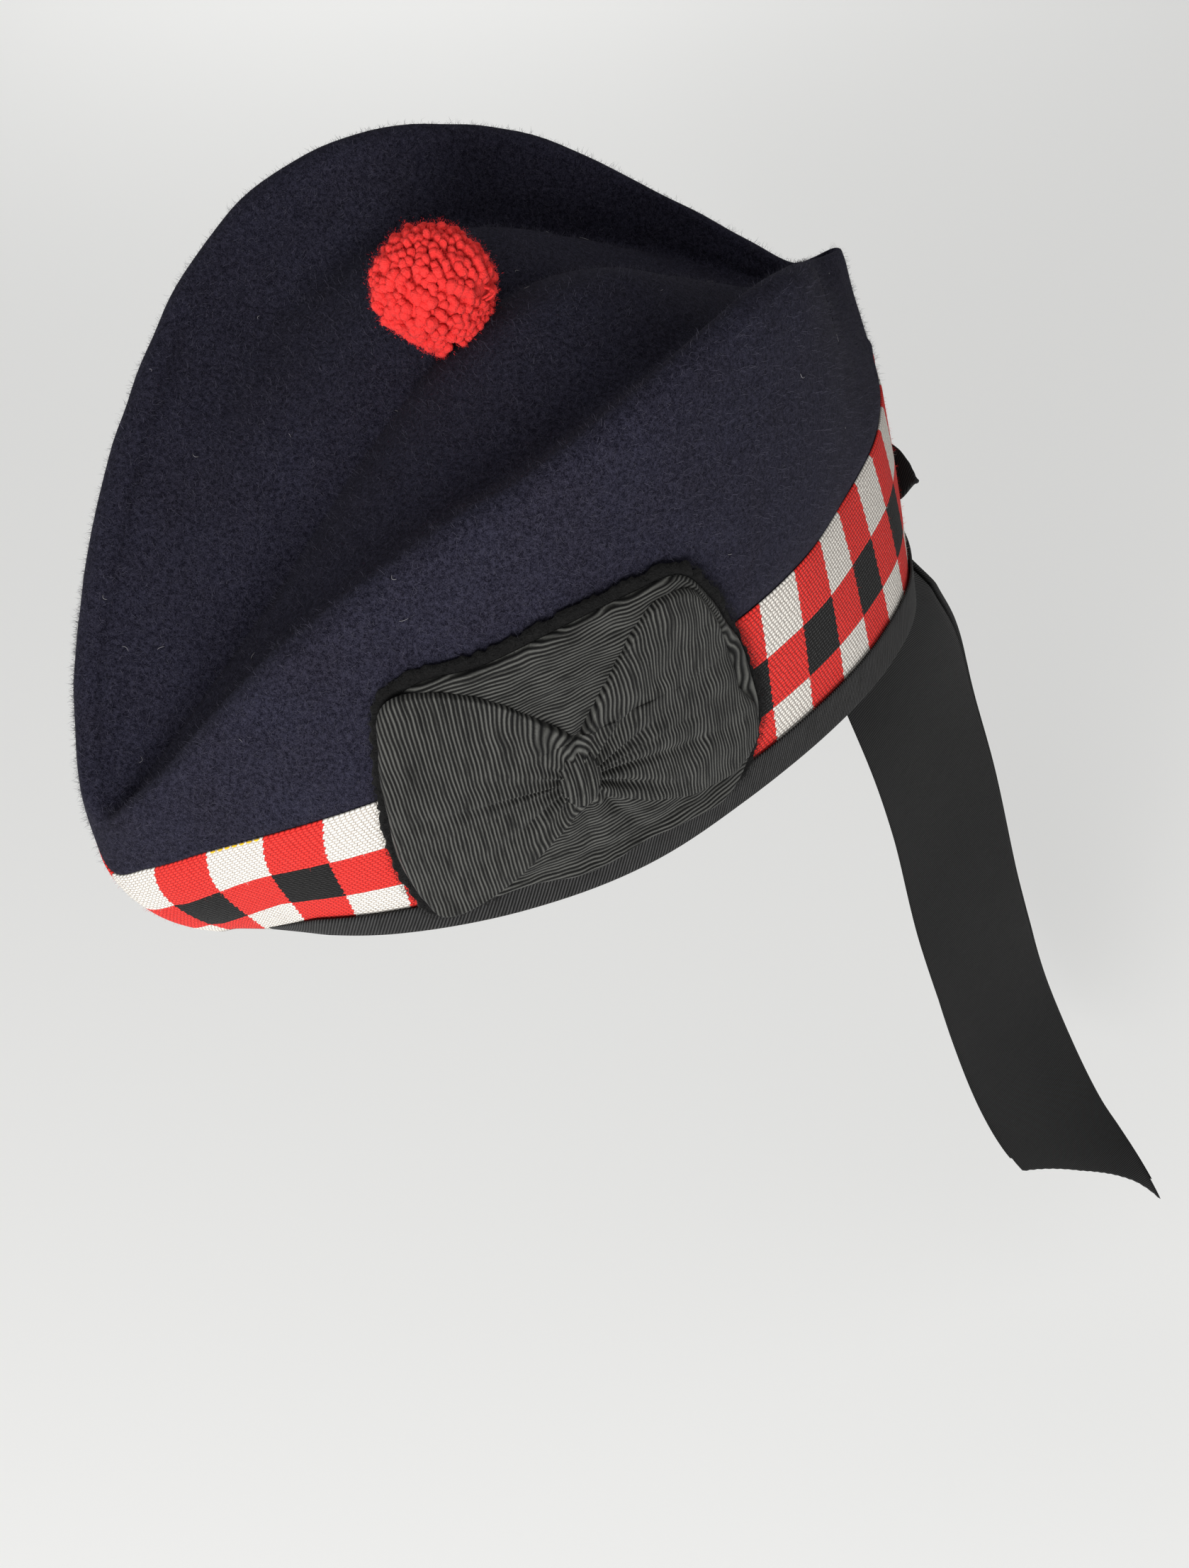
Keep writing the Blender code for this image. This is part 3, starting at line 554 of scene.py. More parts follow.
def math_node(tree, operation, first, second=0.0, third=0.0):
    node = tree.nodes.new("ShaderNodeMath")
    node.operation = operation
    for socket, value in zip(node.inputs, (first, second, third)):
        if isinstance(value, (int, float)):
            socket.default_value = value
        else:
            tree.links.new(value, socket)
    return node.outputs[0]


def mix_colours(tree, factor, first, second):
    node = tree.nodes.new("ShaderNodeMix")
    node.data_type = "RGBA"
    colour_inputs = [s for s in node.inputs if s.type == "RGBA"]
    for socket, value in zip([node.inputs[0]] + colour_inputs, (factor, first, second)):
        if isinstance(value, tuple):
            socket.default_value = (*value, 1.0)
        elif isinstance(value, (int, float)):
            socket.default_value = value
        else:
            tree.links.new(value, socket)
    return [s for s in node.outputs if s.type == "RGBA"][0]


def colour_by(tree, shader, factor, first, second):
    tree.links.new(mix_colours(tree, factor, first, second), shader.inputs["Base Color"])


def noise_value(tree, vector, scale, detail, roughness):
    """Noise from 0 to 1, with scale as features for each unit of the vector."""
    node = add_node(tree, "ShaderNodeTexNoise", Scale=scale, Detail=detail, Roughness=roughness)
    tree.links.new(vector, node.inputs["Vector"])
    return node.outputs[0]


def add_bump(tree, shader, height, distance, strength, under=None):
    node = add_node(tree, "ShaderNodeBump", Strength=strength, Distance=distance)
    tree.links.new(height, node.inputs["Height"])
    if under is not None:
        tree.links.new(under, node.inputs["Normal"])
    tree.links.new(node.outputs[0], shader.inputs["Normal"])
    return node.outputs[0]


def object_coordinates(tree):
    return tree.nodes.new("ShaderNodeTexCoord").outputs["Object"]


def uv_parts(tree):
    uv = tree.nodes.new("ShaderNodeUVMap")
    uv.uv_map = "UVMap"
    split = tree.nodes.new("ShaderNodeSeparateXYZ")
    tree.links.new(uv.outputs[0], split.inputs[0])
    return split.outputs[0], split.outputs[1]


def felt_material():
    """Milled navy wool: mottled, with a fine matted nap."""
    made, tree, shader = new_material(
        "navy_felt", (0.010, 0.012, 0.026), 0.95, sheen=0.02, sheen_tint=(0.7, 0.68, 0.9), specular=0.06
    )
    calc = partial(math_node, tree)
    place = object_coordinates(tree)
    cloud = noise_value(tree, place, 70.0, 3.0, 0.6)
    nap = noise_value(tree, place, 1100.0, 3.0, 0.7)
    grain = noise_value(tree, place, 3800.0, 2.0, 0.6)
    dark = mix_colours(tree, cloud, (0.0025, 0.0022, 0.0045), (0.0045, 0.0045, 0.0095))
    light = mix_colours(tree, cloud, (0.0230, 0.0208, 0.0315), (0.0268, 0.0268, 0.0445))
    speckle = calc("ADD", calc("MULTIPLY", nap, 0.5), calc("MULTIPLY", grain, 0.5))
    ramp = add_node(tree, "ShaderNodeMapRange")
    ramp.inputs["From Min"].default_value = 0.40
    ramp.inputs["From Max"].default_value = 0.62
    tree.links.new(speckle, ramp.inputs["Value"])
    colour_by(tree, shader, ramp.outputs[0], dark, light)
    coarse = add_bump(tree, shader, nap, 0.0005, 0.7)
    add_bump(tree, shader, grain, 0.0002, 0.6, under=coarse)
    return made


def dicing_material():
    """Woven checks, charted from the coordinates of columns and rows, in a coarse twill."""
    made, tree, shader = new_material("diced_cloth", (0.5, 0.1, 0.1), 0.85, sheen=0.04, specular=0.1)
    calc = partial(math_node, tree)
    column, row = uv_parts(tree)
    place = object_coordinates(tree)
    wobble = calc("SUBTRACT", noise_value(tree, place, 700.0, 2.0, 0.6), 0.5)
    line = calc("MULTIPLY_ADD", row, CHECK_LENGTH / GRANULE_HEIGHT, calc("MULTIPLY", wobble, 0.5))
    line_number = calc("FLOOR", line)
    run = calc("MULTIPLY_ADD", column, CHECK_LENGTH / GRANULE_LENGTH, calc("MULTIPLY", wobble, 0.6))
    granule = calc("MULTIPLY_ADD", line_number, GRANULE_STEP, run)
    granule_number = calc("ADD", calc("FLOOR", granule), 0.5)
    column_edge = calc("MULTIPLY_ADD", line_number, -GRANULE_STEP, granule_number)
    column_edge = calc("MULTIPLY", column_edge, 0.4 * GRANULE_LENGTH / CHECK_LENGTH)
    column_edge = calc("MULTIPLY_ADD", column, 0.6, column_edge)
    row_edge = calc("MULTIPLY", calc("ADD", line_number, 0.5), GRANULE_HEIGHT / CHECK_LENGTH)
    odd = calc("MODULO", calc("ADD", calc("FLOOR", column_edge), 100.0), 2.0)
    middle = calc("MULTIPLY", calc("GREATER_THAN", row_edge, 1.0), calc("LESS_THAN", row_edge, 2.0))
    white = calc("MULTIPLY", odd, calc("SUBTRACT", 1.0, middle))
    black = calc("MULTIPLY", calc("SUBTRACT", 1.0, odd), middle)
    # The weave's granules: lightest at their middles and darker between them, as painted shade in the gaps of
    # the weave, as well as the bump the weave gives
    wide = calc("ABSOLUTE", calc("SINE", calc("MULTIPLY", granule, math.pi)))
    high = calc("ABSOLUTE", calc("SINE", calc("MULTIPLY", line, math.pi)))
    weave = calc("POWER", calc("MULTIPLY", wide, high), 0.6)
    fleck = noise_value(tree, place, 1700.0, 3.0, 0.7)
    # This factor is the painted shade between the granules times random flecks in the yarn's own tone; in
    # each mix below, the first colour is the shade painted in the gaps
    worn = calc("MULTIPLY", weave, calc("ADD", fleck, 0.55))
    red = mix_colours(tree, worn, (0.28, 0.004, 0.004), (0.76, 0.034, 0.026))
    pale = mix_colours(tree, worn, (0.32, 0.28, 0.25), (0.76, 0.73, 0.67))
    ink = mix_colours(tree, worn, (0.0015, 0.0015, 0.0015), (0.0090, 0.0085, 0.0085))
    coloured = mix_colours(tree, white, red, pale)
    colour_by(tree, shader, black, coloured, ink)
    fine = add_bump(tree, shader, fleck, 0.00012, 0.7)
    add_bump(tree, shader, weave, 0.00034, 0.9, under=fine)
    return made


def grosgrain_material(name, pitch, low, high, depth, specular, slant=0.0, uneven=0.5):
    """Ribbed ribbon with painted light: crests lighter, partly its own dark grey and partly painted
    highlight, and grooves near black as painted shade.
    The ribs follow the first coordinate, in metres, and slant moves them with the second. uneven is how much
    the crests' painted highlight differs from one stretch of a rib to the next."""
    made, tree, shader = new_material(name, high, 0.62, sheen=0.03, specular=specular)
    calc = partial(math_node, tree)
    run, across = uv_parts(tree)
    place = object_coordinates(tree)
    sway = calc("SUBTRACT", noise_value(tree, place, 260.0, 2.0, 0.5), 0.5)
    shifted = calc("MULTIPLY_ADD", across, slant, run)
    phase = calc("MULTIPLY", shifted, 2 * math.pi / pitch)
    wave = calc("SINE", calc("MULTIPLY_ADD", sway, 1.6, phase))
    rib = calc("MULTIPLY_ADD", wave, 0.5, 0.5)
    thread = noise_value(tree, place, 2400.0, 2.0, 0.7)
    stretch = tree.nodes.new("ShaderNodeCombineXYZ")
    tree.links.new(calc("DIVIDE", shifted, pitch), stretch.inputs[0])
    tree.links.new(calc("MULTIPLY", across, 160.0), stretch.inputs[1])
    streak = noise_value(tree, stretch.outputs[0], 0.9, 2.0, 0.7)
    streak = calc("MULTIPLY_ADD", calc("SUBTRACT", streak, 0.5), 4.0 * uneven, 1.0)
    lively = calc("MULTIPLY", streak, calc("ADD", thread, 0.5))
    # Painted light: lit crests, grooves in painted shade, and the crests' painted highlight uneven along each
    # rib
    body = calc("MULTIPLY", calc("POWER", rib, 1.4), calc("MAXIMUM", lively, 0.1))
    # Broad patches where the crests' painted highlight is a little stronger or weaker
    highlight_patches = noise_value(tree, place, 60.0, 3.0, 0.6)
    bright = mix_colours(tree, highlight_patches, tuple(0.8 * c for c in high), tuple(1.15 * c for c in high))
    colour_by(tree, shader, body, low, bright)
    fine = add_bump(tree, shader, thread, 0.00008, 0.6)
    add_bump(tree, shader, rib, depth, 1.0, under=fine)
    return made


def fuzzy_material(name, low, high):
    made, tree, shader = new_material(name, high, 0.95, sheen=0.03, specular=0.1)
    place = object_coordinates(tree)
    nap = noise_value(tree, place, 800.0, 4.0, 0.7)
    colour_by(tree, shader, nap, low, high)
    add_bump(tree, shader, nap, 0.0005, 0.8)
    return made


def yarn_material():
    made, tree, shader = new_material(
        "red_yarn", (0.8, 0.02, 0.02), 0.85, sheen=0.12, sheen_tint=(1.0, 0.3, 0.3), specular=0.1
    )
    place = object_coordinates(tree)
    tone = noise_value(tree, place, 260.0, 2.0, 0.5)
    # This fine noise gives the yarn's strands, as colour and bump; its lighter orange-red is partly the
    # strands' own tone and partly painted highlight on the nubs
    strands_and_glints = noise_value(tree, place, 2200.0, 3.0, 0.7)
    base = mix_colours(tree, tone, (0.48, 0.005, 0.008), (0.86, 0.018, 0.020))
    colour_by(tree, shader, strands_and_glints, base, (0.97, 0.070, 0.060))
    add_bump(tree, shader, strands_and_glints, 0.0006, 1.0)
    return made


def plain_fibre_material(name, colour):
    return new_material(name, colour, 0.9, specular=0.1)[0]


# Fibres
def face_points(points, quads, count):
    """Random places on a mesh's quads, evenly spread over their area, with their normals."""
    corners = points[np.asarray(quads)]
    cross = np.cross(corners[:, 2] - corners[:, 0], corners[:, 3] - corners[:, 1])
    area = np.linalg.norm(cross, axis=1) / 2
    chosen = random.choice(len(quads), size=count, p=area / area.sum())
    u, v = random.random((2, count, 1))
    picked = corners[chosen]
    low = picked[:, 0] * (1 - u) + picked[:, 1] * u
    high = picked[:, 3] * (1 - u) + picked[:, 2] * u
    return low * (1 - v) + high * v, unit(cross[chosen])


def add_fibres(name, places, normals, made, uv=None):
    """Short bent fibres as flat strips of a quad and a tip, one for each place, as FIBRES has them under
    their name. uv gives one pair for each fibre."""
    count, length, width, lift, curl = FIBRES[name]
    drift = random.normal(size=(count, 3))
    flat = unit(drift - normals * np.sum(drift * normals, axis=1, keepdims=True))
    rise = np.abs(random.normal(lift, lift / 2, (count, 1)))
    way = unit(flat + normals * rise)
    bend = unit(way + curl * unit(random.normal(size=(count, 3))))
    size = length * random.uniform(0.5, 1.3, (count, 1))
    beside = unit(np.cross(way, normals)) * width / 2
    middle = places + way * size * 0.5
    tip = middle + bend * size * 0.5
    points = np.stack([places - beside, places + beside, middle + beside, middle - beside, tip], axis=1)
    first = np.arange(count) * 5
    quads = np.stack([first, first + 1, first + 2, first + 3], axis=1).tolist()
    tips = np.stack([first + 3, first + 2, first + 4], axis=1).tolist()
    return add_mesh(name, points, quads + tips, made, uv=None if uv is None else np.repeat(uv, 5, axis=0))


def add_threads(name, routes, radius, made, sides=5):
    """Round threads as one mesh. Each route is an array of points."""
    points, faces, first = [], [], 0
    for route in routes:
        run = unit(np.gradient(route, axis=0))
        across = unit(np.cross(run, np.array([0.31, 0.52, 0.79])))
        over = np.cross(run, across)
        taper = np.ones(len(route))
        taper[[0, -1]] = 0.4
        angle = turn_angles(sides)[None, :, None]
        ring = across[:, None] * np.cos(angle) + over[:, None] * np.sin(angle)
        points.append((route[:, None] + ring * (radius * taper)[:, None, None]).reshape(-1, 3))
        faces += tube_faces(len(route), sides, first)
        first += len(route) * sides
    return add_mesh(name, np.concatenate(points), faces, made)


# Felt cap
def crown_rows(around):
    ridge = ridge_line(around)
    crease = crease_line(around)
    radius = section("fold", around) * FOLD_RADIUS
    foot_drop = section("foot_dip", around) * CROWN_DIP
    lobe_drop = section("lobe_dip", around) * CROWN_DIP
    inner_drop = np.clip(0.5 * foot_drop, 0.0, radius)

    def across(share, drop):
        point = ridge + (crease - ridge) * share[..., None]
        point[..., 2] = ridge[..., 2] - drop
        return point

    inner = ridge + inward(around) * radius[..., None]
    inner[..., 2] -= inner_drop
    high = ridge + inward(around) * radius[..., None] * PAST_RIDGE
    high[..., 2] -= inner_drop * PAST_RIDGE_DROP
    foot = across(section("foot_at", around), foot_drop)
    lobe = across(section("lobe_at", around), lobe_drop)
    hip = (foot + lobe) / 2
    hip[..., 2] += HIP_BOW * (lobe - foot)[..., 2]
    slope = (lobe + crease) / 2
    slope[..., 2] += SLOPE_BOW * (lobe - crease)[..., 2]
    near = slope * 0.3 + crease * 0.7
    shoulder = fold_point(around, SHOULDER_OUT, SHOULDER_DOWN)
    return [shoulder, ridge, high, inner, (inner + foot) / 2, foot, hip, lobe, slope, near, crease]


def row_curve(rows, cuts):
    """Smooth lines through rows of points, shaped (rows, stations, 3). cuts gives the steps between rows."""
    step = np.linalg.norm(np.diff(rows, axis=0), axis=-1, keepdims=True) + 1e-6
    slope = np.diff(rows, axis=0) / step
    last = slope[-1:].copy()
    last[..., 2] *= 0.35
    tangent = np.concatenate([slope[:1], mean_slopes(slope, step), last])
    made = [rows[:1]]
    for i, count in enumerate(cuts):
        for t in np.arange(1, count + 1) / count:
            made.append(cubic(t, step[i], rows[i:i + 2], tangent[i:i + 2])[None])
    return np.concatenate(made)


def two_sides(rows, around, right):
    """The worn crown isn't quite even: its right ridge stands higher behind the middle and leans in at the
    back, where both ridges meet, and its right lobe lies lower. The rows come as on the left half, and the
    right half is mirrored later."""
    def shift(table, shares):
        return smooth(*zip(*table), around)[None] * np.array(shares)[:, None]

    moved = rows.copy()
    moved[..., 2] += shift(BACK_TIP_RISE, LIFT_SHARES)
    moved[..., 1] += shift(BACK_TIP_PUSH, LIFT_SHARES)
    if right:
        moved[..., 0] -= shift(RIDGE_LEAN, RIGHT_LEAN_SHARES)
        moved[..., 2] += shift(RIGHT_RIDGE_LIFT, LIFT_SHARES)
        moved[..., 2] -= shift(RIGHT_LOBE_DROP, DROP_SHARES)
    else:
        moved[..., 0] += shift(RIDGE_LEAN, LEFT_LEAN_SHARES)
    return moved


def felt_half(around, right=False):
    under_band = -(BAND_CLOTH + GAP)
    wall_rows = [(height, under_band) for height in (EDGE_SHARE, 0.3, 0.65, 0.97)]
    wall_rows += [(1.06, -0.0001), (1.2, 0.0), (1.5, 0.0), (1.8, 0.0), (2.0, 0.0)]
    rows = [side_off(around, height, np.full_like(around, off)) for height, off in wall_rows]
    rows = two_sides(np.stack(rows + crown_rows(around)), around, right)
    return row_curve(rows, FELT_CUTS)


def close_crease(rows):
    """Both halves of the last row meet in the crease."""
    size = rows.shape[1]
    for i in range(1, size // 2):
        middle = (rows[-1, i] + rows[-1, size - i]) / 2
        rows[-1, i] = middle
        rows[-1, size - i] = middle


def make_felt(cloth, nap, fluff, lint):
    """The felt cap as a shell. Gives back a tree of its faces, to find heights on it."""
    around = stations()
    left, right = felt_half(around), felt_half(around, right=True)
    outer = np.concatenate([left, right[:, -2:0:-1] * MIRROR], axis=1)
    normals = grid_normals(outer)
    free = np.linspace(0.0, 1.0, len(outer))[:, None] > FELT_SMOOTH_SHARE
    outer = outer + normals * (ripples(outer, FELT_DENTS) * free)[..., None]
    row_count, size = outer.shape[:2]
    close_crease(outer)
    inner = outer - blur_normals(normals) * FELT * 0.9
    close_crease(inner)
    faces = grid_faces(row_count, size, closed_columns=True)
    offset = row_count * size
    back = far_faces(faces, offset)
    edge = [[offset + i, offset + (i + 1) % size, (i + 1) % size, i] for i in range(size)]
    points = np.concatenate([outer.reshape(-1, 3), inner.reshape(-1, 3)])
    felt = add_mesh("felt_cap", points, faces + back + edge, cloth)
    merge_close(felt, 1e-6)
    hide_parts("felt_body")
    quads = np.array(faces)
    bare = quads[quads[:, 0] // size >= FELT_BARE_ROW]
    add_felt_fibres(outer.reshape(-1, 3), bare, nap, fluff, lint)
    return BVHTree.FromPolygons(points.tolist(), faces + back)


def add_felt_fibres(points, quads, nap, fluff, lint):
    """Nap, longer fluff and specks of lint where the felt shows."""
    for name, made in (("felt_nap", nap), ("felt_fluff", fluff)):
        places, ways = face_points(points, quads, FIBRES[name][0])
        fuzz = add_fibres(name, places, ways, made)
    places, ways = face_points(points, quads, LINT_COUNT)
    routes = [lint_route(place, way) for place, way in zip(places, ways)]
    specks = add_threads("felt_lint", routes, LINT_RADIUS, lint, sides=4)


def lint_route(place, way):
    """A short curly fibre lying just over the cloth."""
    length = random.uniform(0.0006, 0.0030)
    drift = unit(np.cross(way, random.normal(size=3)))
    beside = np.cross(way, drift)
    t = np.linspace(0.0, 1.0, 6)[:, None]
    bow = random.uniform(-0.5, 0.5) * length
    return place + way * 0.00025 + drift * t * length + beside * bow * np.sin(np.pi * t)


def merge_close(obj, distance):
    work = bmesh.new()
    work.from_mesh(obj.data)
    bmesh.ops.remove_doubles(work, verts=work.verts, dist=distance)
    bmesh.ops.recalc_face_normals(work, faces=work.faces)
    work.to_mesh(obj.data)
    work.free()
    obj.data.shade_smooth()


# Diced band and bound edge
def ring_piece(name, profile, made, coordinates, puff, tucked=False):
    """A closed band round the hat. profile lists (height, off) round its cross-section. coordinates gives
    the two pattern coordinates of each point from its signed share of the way round and its place in the
    profile. puff is the ripples in the cloth. A tucked band is drawn in towards the hat's edge at the
    front."""
    around = stations()
    bare = (BINDING_TUCK_END - around) / (BINDING_TUCK_END - BINDING_TUCK_START)
    tuck = np.clip(bare, 0.0, 1.0) * (0.95 if tucked else 0.0)
    signed = np.concatenate([around, -around[-2:0:-1]])
    rings, uv = [], []
    for k, (height, off) in enumerate(profile):
        drawn = height + (EDGE_SHARE - height) * tuck
        ring = whole_loop(side_off(around, drawn, off - tuck * max(off + 0.0004, 0.0)))
        rings.append(ring)
        uv.append(coordinates(signed, k))
    rings = np.stack(rings)
    lift = unit(vectors(rings[..., 0], rings[..., 1], 0.0))
    rings = rings + lift * ripples(rings, puff)[..., None]
    size = rings.shape[1]
    faces = grid_faces(len(profile), size, closed_rows=True, closed_columns=True)
    return add_mesh(name, rings, faces, made, uv=np.stack(uv))


def check_place(signed, height):
    """Column and row of the checks at a signed share of the way round. At the front the columns bend and
    the rows sink towards the edge."""
    leaning = np.clip((LEAN_END - np.abs(signed)) / LEAN_RUN, 0.0, 1.0)
    sinking = np.clip((SINK_END - np.abs(signed)) / SINK_RUN, 0.0, 1.0)
    lean = FRONT_CHECK_LEAN * (height - 0.5) ** 3 * leaning
    sink = FRONT_ROW_SINK * (1.0 - height) * sinking
    column = CHECKS_PER_HALF * signed - FRONT_CHECK_SHIFT - lean
    return np.stack([column, np.interp(height + sink, ROW_BORDERS, range(4))], axis=1)


def make_band(cloth, stitching):
    outside = np.linspace(EDGE_SHARE, 0.985, 22)
    profile = [(height, 0.0) for height in outside]
    profile += [(0.997, -0.00012), (1.004, -0.00045), (0.997, -0.00085)]
    profile += [(height, -BAND_CLOTH) for height in (0.97, 0.5, EDGE_SHARE)]

    def coordinates(signed, k):
        return check_place(signed, profile[k][0])

    band = ring_piece("diced_band_cloth", profile, cloth, coordinates, BAND_PUFF)
    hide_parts("diced_band")
    add_band_hairs(cloth)
    add_stitches(stitching)


def add_band_hairs(cloth):
    """Fuzz on the band, coloured as the check under each hair."""
    count = FIBRES["diced_band_hairs"][0]
    signed = random.uniform(-1.0, 1.0, count)
    height = random.uniform(BINDING_SHARE, 0.985, count)
    mirror = np.where(signed < 0, -1.0, 1.0)
    foot, over = (side_off(np.abs(signed), height, np.full_like(signed, off)) for off in (0.0, 0.001))
    foot[:, 0] *= mirror
    over[:, 0] *= mirror
    uv = check_place(signed, height)
    hairs = add_fibres("diced_band_hairs", foot, unit(over - foot), cloth, uv=uv)


def add_stitches(stitching):
    """Short threads along the top edge of one check."""
    columns = np.linspace(*STITCH_COLUMNS, STITCH_COUNT + 1)
    shares = (columns + FRONT_CHECK_SHIFT + FRONT_CHECK_LEAN * 0.5**3) / CHECKS_PER_HALF
    arch = 0.0002 * np.sin(np.linspace(0.0, math.pi, 5)) - 0.0002
    routes = []
    for start, end in zip(shares[:-1], shares[1:]):
        at = start + (end - start) * np.linspace(0.1, 0.8, 5)
        routes.append(side_off(at, np.full(5, 1.004), arch))
    stitches = add_threads("band_stitches", routes, STITCH_RADIUS, stitching)


def binding_profile():
    """Cross-section of the folded ribbon: outside leg, rounded lower edge and inside leg."""
    face = GAP + 0.0009
    inside = -(BAND_CLOTH + FELT + 4 * GAP)
    middle = (face + inside) / 2
    half = (face - inside) / 2
    tilts = np.linspace(0.0, math.pi, 11)
    under = [(0.036 - 0.03 * math.sin(tilt), middle + half * math.cos(tilt)) for tilt in tilts]
    legs_out = [(BINDING_SHARE - 0.004, GAP + 0.0003), (BINDING_SHARE, GAP + 0.0006)]
    legs_out += [(BINDING_SHARE - 0.006, face)]
    legs_out += [(height, face) for height in (0.19, 0.14, 0.09)]
    legs_in = [(0.09, inside), (0.16, inside), (BINDING_SHARE, inside)]
    legs_in += [(BINDING_SHARE, inside + 0.0006), (0.16, inside + 0.0008), (0.07, inside + 0.0008)]
    close = [(0.038, inside + 0.0012), (0.038, GAP + 0.0001), (0.09, GAP), (0.16, GAP)]
    return legs_out + under + legs_in + close


def make_binding(ribbon):
    profile = binding_profile()
    places = np.array([side_off(np.array(0.4), height, np.array(off)) for height, off in profile])
    run = np.concatenate([[0.0], np.cumsum(np.linalg.norm(np.diff(places, axis=0), axis=1))])

    def coordinates(signed, k):
        return np.stack([signed * HALF_LOOP, np.full_like(signed, run[k])], axis=1)

    edge = ring_piece("edge_binding_ribbon", profile, ribbon, coordinates, BINDING_PUFF, tucked=True)
    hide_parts("edge_binding")


# Rosette
def rosette_point(along, up, off):
    """A point over the side wall, from the rosette's middle: along to the back, up the wall and off it."""
    along, up, off = np.broadcast_arrays(along, up, off)
    around = ROSETTE_AROUND + along / HALF_LOOP
    from_rim = ROSETTE_UP + up
    band = band_length(around)
    over_binding = np.clip((BINDING_SHARE * band + LIP_RUN - from_rim) / LIP_RUN, 0.0, 1.0)
    off = off + over_binding * (BINDING_CLOTH + GAP)
    over = np.clip(from_rim - band, 0.0, None) / wall_length(around)
    return side_off(around, np.minimum(from_rim / band, 1.0) + over, off)


def outline_reach(outline, angle):
    degrees, shares = zip(*outline)
    angles = np.radians(degrees)
    reach = np.array(shares) * ROSETTE_LENGTH / 2
    turn = 2 * np.pi
    wide_angles = np.concatenate([angles - turn, angles, angles + turn])
    return smooth(wide_angles, np.tile(reach, 3), angle % turn)


def square_reach(x, y, wide):
    """Distance whose level lines are circles near the knot and rounded squares at the outline, as the ribs
    of a flattened bow run. wide stretches them across the bow."""
    power = 2.2 + 4.5 * np.clip(np.hypot(x, y) / (ROSETTE_LENGTH / 2), 0.0, 1.0)
    return (np.abs(x / wide[0]) ** power + np.abs(y / wide[1]) ** power) ** (1 / power)


def rosette_piece(name, outline, low, made, height, wide=(1.0, 1.0), rough_edge=0.0):
    """A cloth piece of the rosette, from its underside at low up to low plus height(angle, share, reach)."""
    turns, layers = ROSETTE_TURNS, ROSETTE_LAYERS
    angle = turn_angles(turns)
    reach = outline_reach(outline, angle)
    if rough_edge:
        reach = reach + rough_edge * random.normal(size=turns)
        frayed = [noise.noise(Vector((r * 900.0, 3.0, a * 6.0))) for r, a in zip(reach, angle)]
        reach = reach + 0.0006 * np.array(frayed)
    share = np.linspace(0.0, 1.0, layers) ** 0.85
    share[0] = 0.004
    turn_grid, share_grid = np.meshgrid(angle, share)
    x = reach[None] * share_grid * np.cos(turn_grid)
    y = reach[None] * share_grid * np.sin(turn_grid)
    span = np.broadcast_to(reach[None], x.shape)
    past = np.clip((share_grid * span - span + ROSETTE_ROUNDING) / ROSETTE_ROUNDING, 0.0, 1.0)
    edge = np.sqrt(np.clip(1.0 - past**2, 0.0, 1.0))
    rise = height(turn_grid, share_grid, span)
    top = rosette_point(x, y, low + rise * edge)
    bottom = rosette_point(x, y, np.full_like(x, low - 0.0001))
    # The ribs sway less in the front loop
    calm = np.clip(1.0 - (-x - 0.008) / 0.012, 0.3, 1.0)
    sway = calm * ripples(top, ROSETTE_SWAY)
    uv = np.stack([square_reach(x, y, wide) + sway, np.arctan2(y, x) * 0.02], axis=-1)
    points = np.concatenate([top.reshape(-1, 3), bottom.reshape(-1, 3)])
    faces = grid_faces(layers, turns, closed_columns=True)
    offset = layers * turns
    last = (layers - 1) * turns
    ends = [(last + i, last + (i + 1) % turns) for i in range(turns)]
    rim = [[a, b, offset + b, offset + a] for a, b in ends]
    caps = [list(range(turns))[::-1], [offset + i for i in range(turns)]]
    coordinates = np.concatenate([uv.reshape(-1, 2), uv.reshape(-1, 2)])
    return add_mesh(name, points, faces + far_faces(faces, offset) + rim + caps, made, uv=coordinates)


def crease_depths(rows, angle, share):
    """Valleys that run out from the knot, added up. Each row is as in UPRIGHT_CREASES."""
    total = 0.0
    for at, turn, width, depth in rows:
        away = np.angle(np.exp(1j * (angle - np.radians(at + turn * share))))
        total = total - depth * np.exp(-((away / math.radians(width)) ** 2))
    return total


def backing_height(angle, share, reach):
    return np.full_like(angle, 0.0011)


def upright_height(angle, share, reach):
    rise = 0.0013 + 0.0003 * np.sin(np.pi * np.clip(share, 0.0, 1.0))
    folds = crease_depths(UPRIGHT_CREASES, angle, share)
    pleats = 0.0006 * np.sin(13 * angle + 0.6) * np.exp(-share * reach / 0.013)
    outer = np.clip(2 * share - 0.6, 0.0, 1.0)
    waves = 0.00022 * np.sin(share * reach / 0.0011 + 3 * np.sin(3 * angle)) * outer
    return np.maximum(rise + folds * np.clip(1.25 - share, 0.0, 1.0) + pleats + waves, 0.0003)


def cross_height(angle, share, reach):
    rise = 0.0013 + 0.0007 * np.sin(np.pi * np.clip(share, 0.0, 1.0)) ** 0.8
    folds = crease_depths(CROSS_CREASES, angle, share)
    pleats = 0.0009 * np.sin(15 * angle + 1.3) * np.exp(-share * reach / 0.009)
    back_lobe = np.clip(np.cos(angle) * 2, 0.0, 1.0)
    outer = np.clip(2 * share - 0.6, 0.0, 1.0)
    waves = 0.00025 * np.sin(share * reach / 0.0014 + 2 * np.sin(4 * angle)) * outer
    return np.maximum(rise + folds * np.clip(1.25 - share, 0.0, 1.0) + pleats + waves * back_lobe, 0.0004)


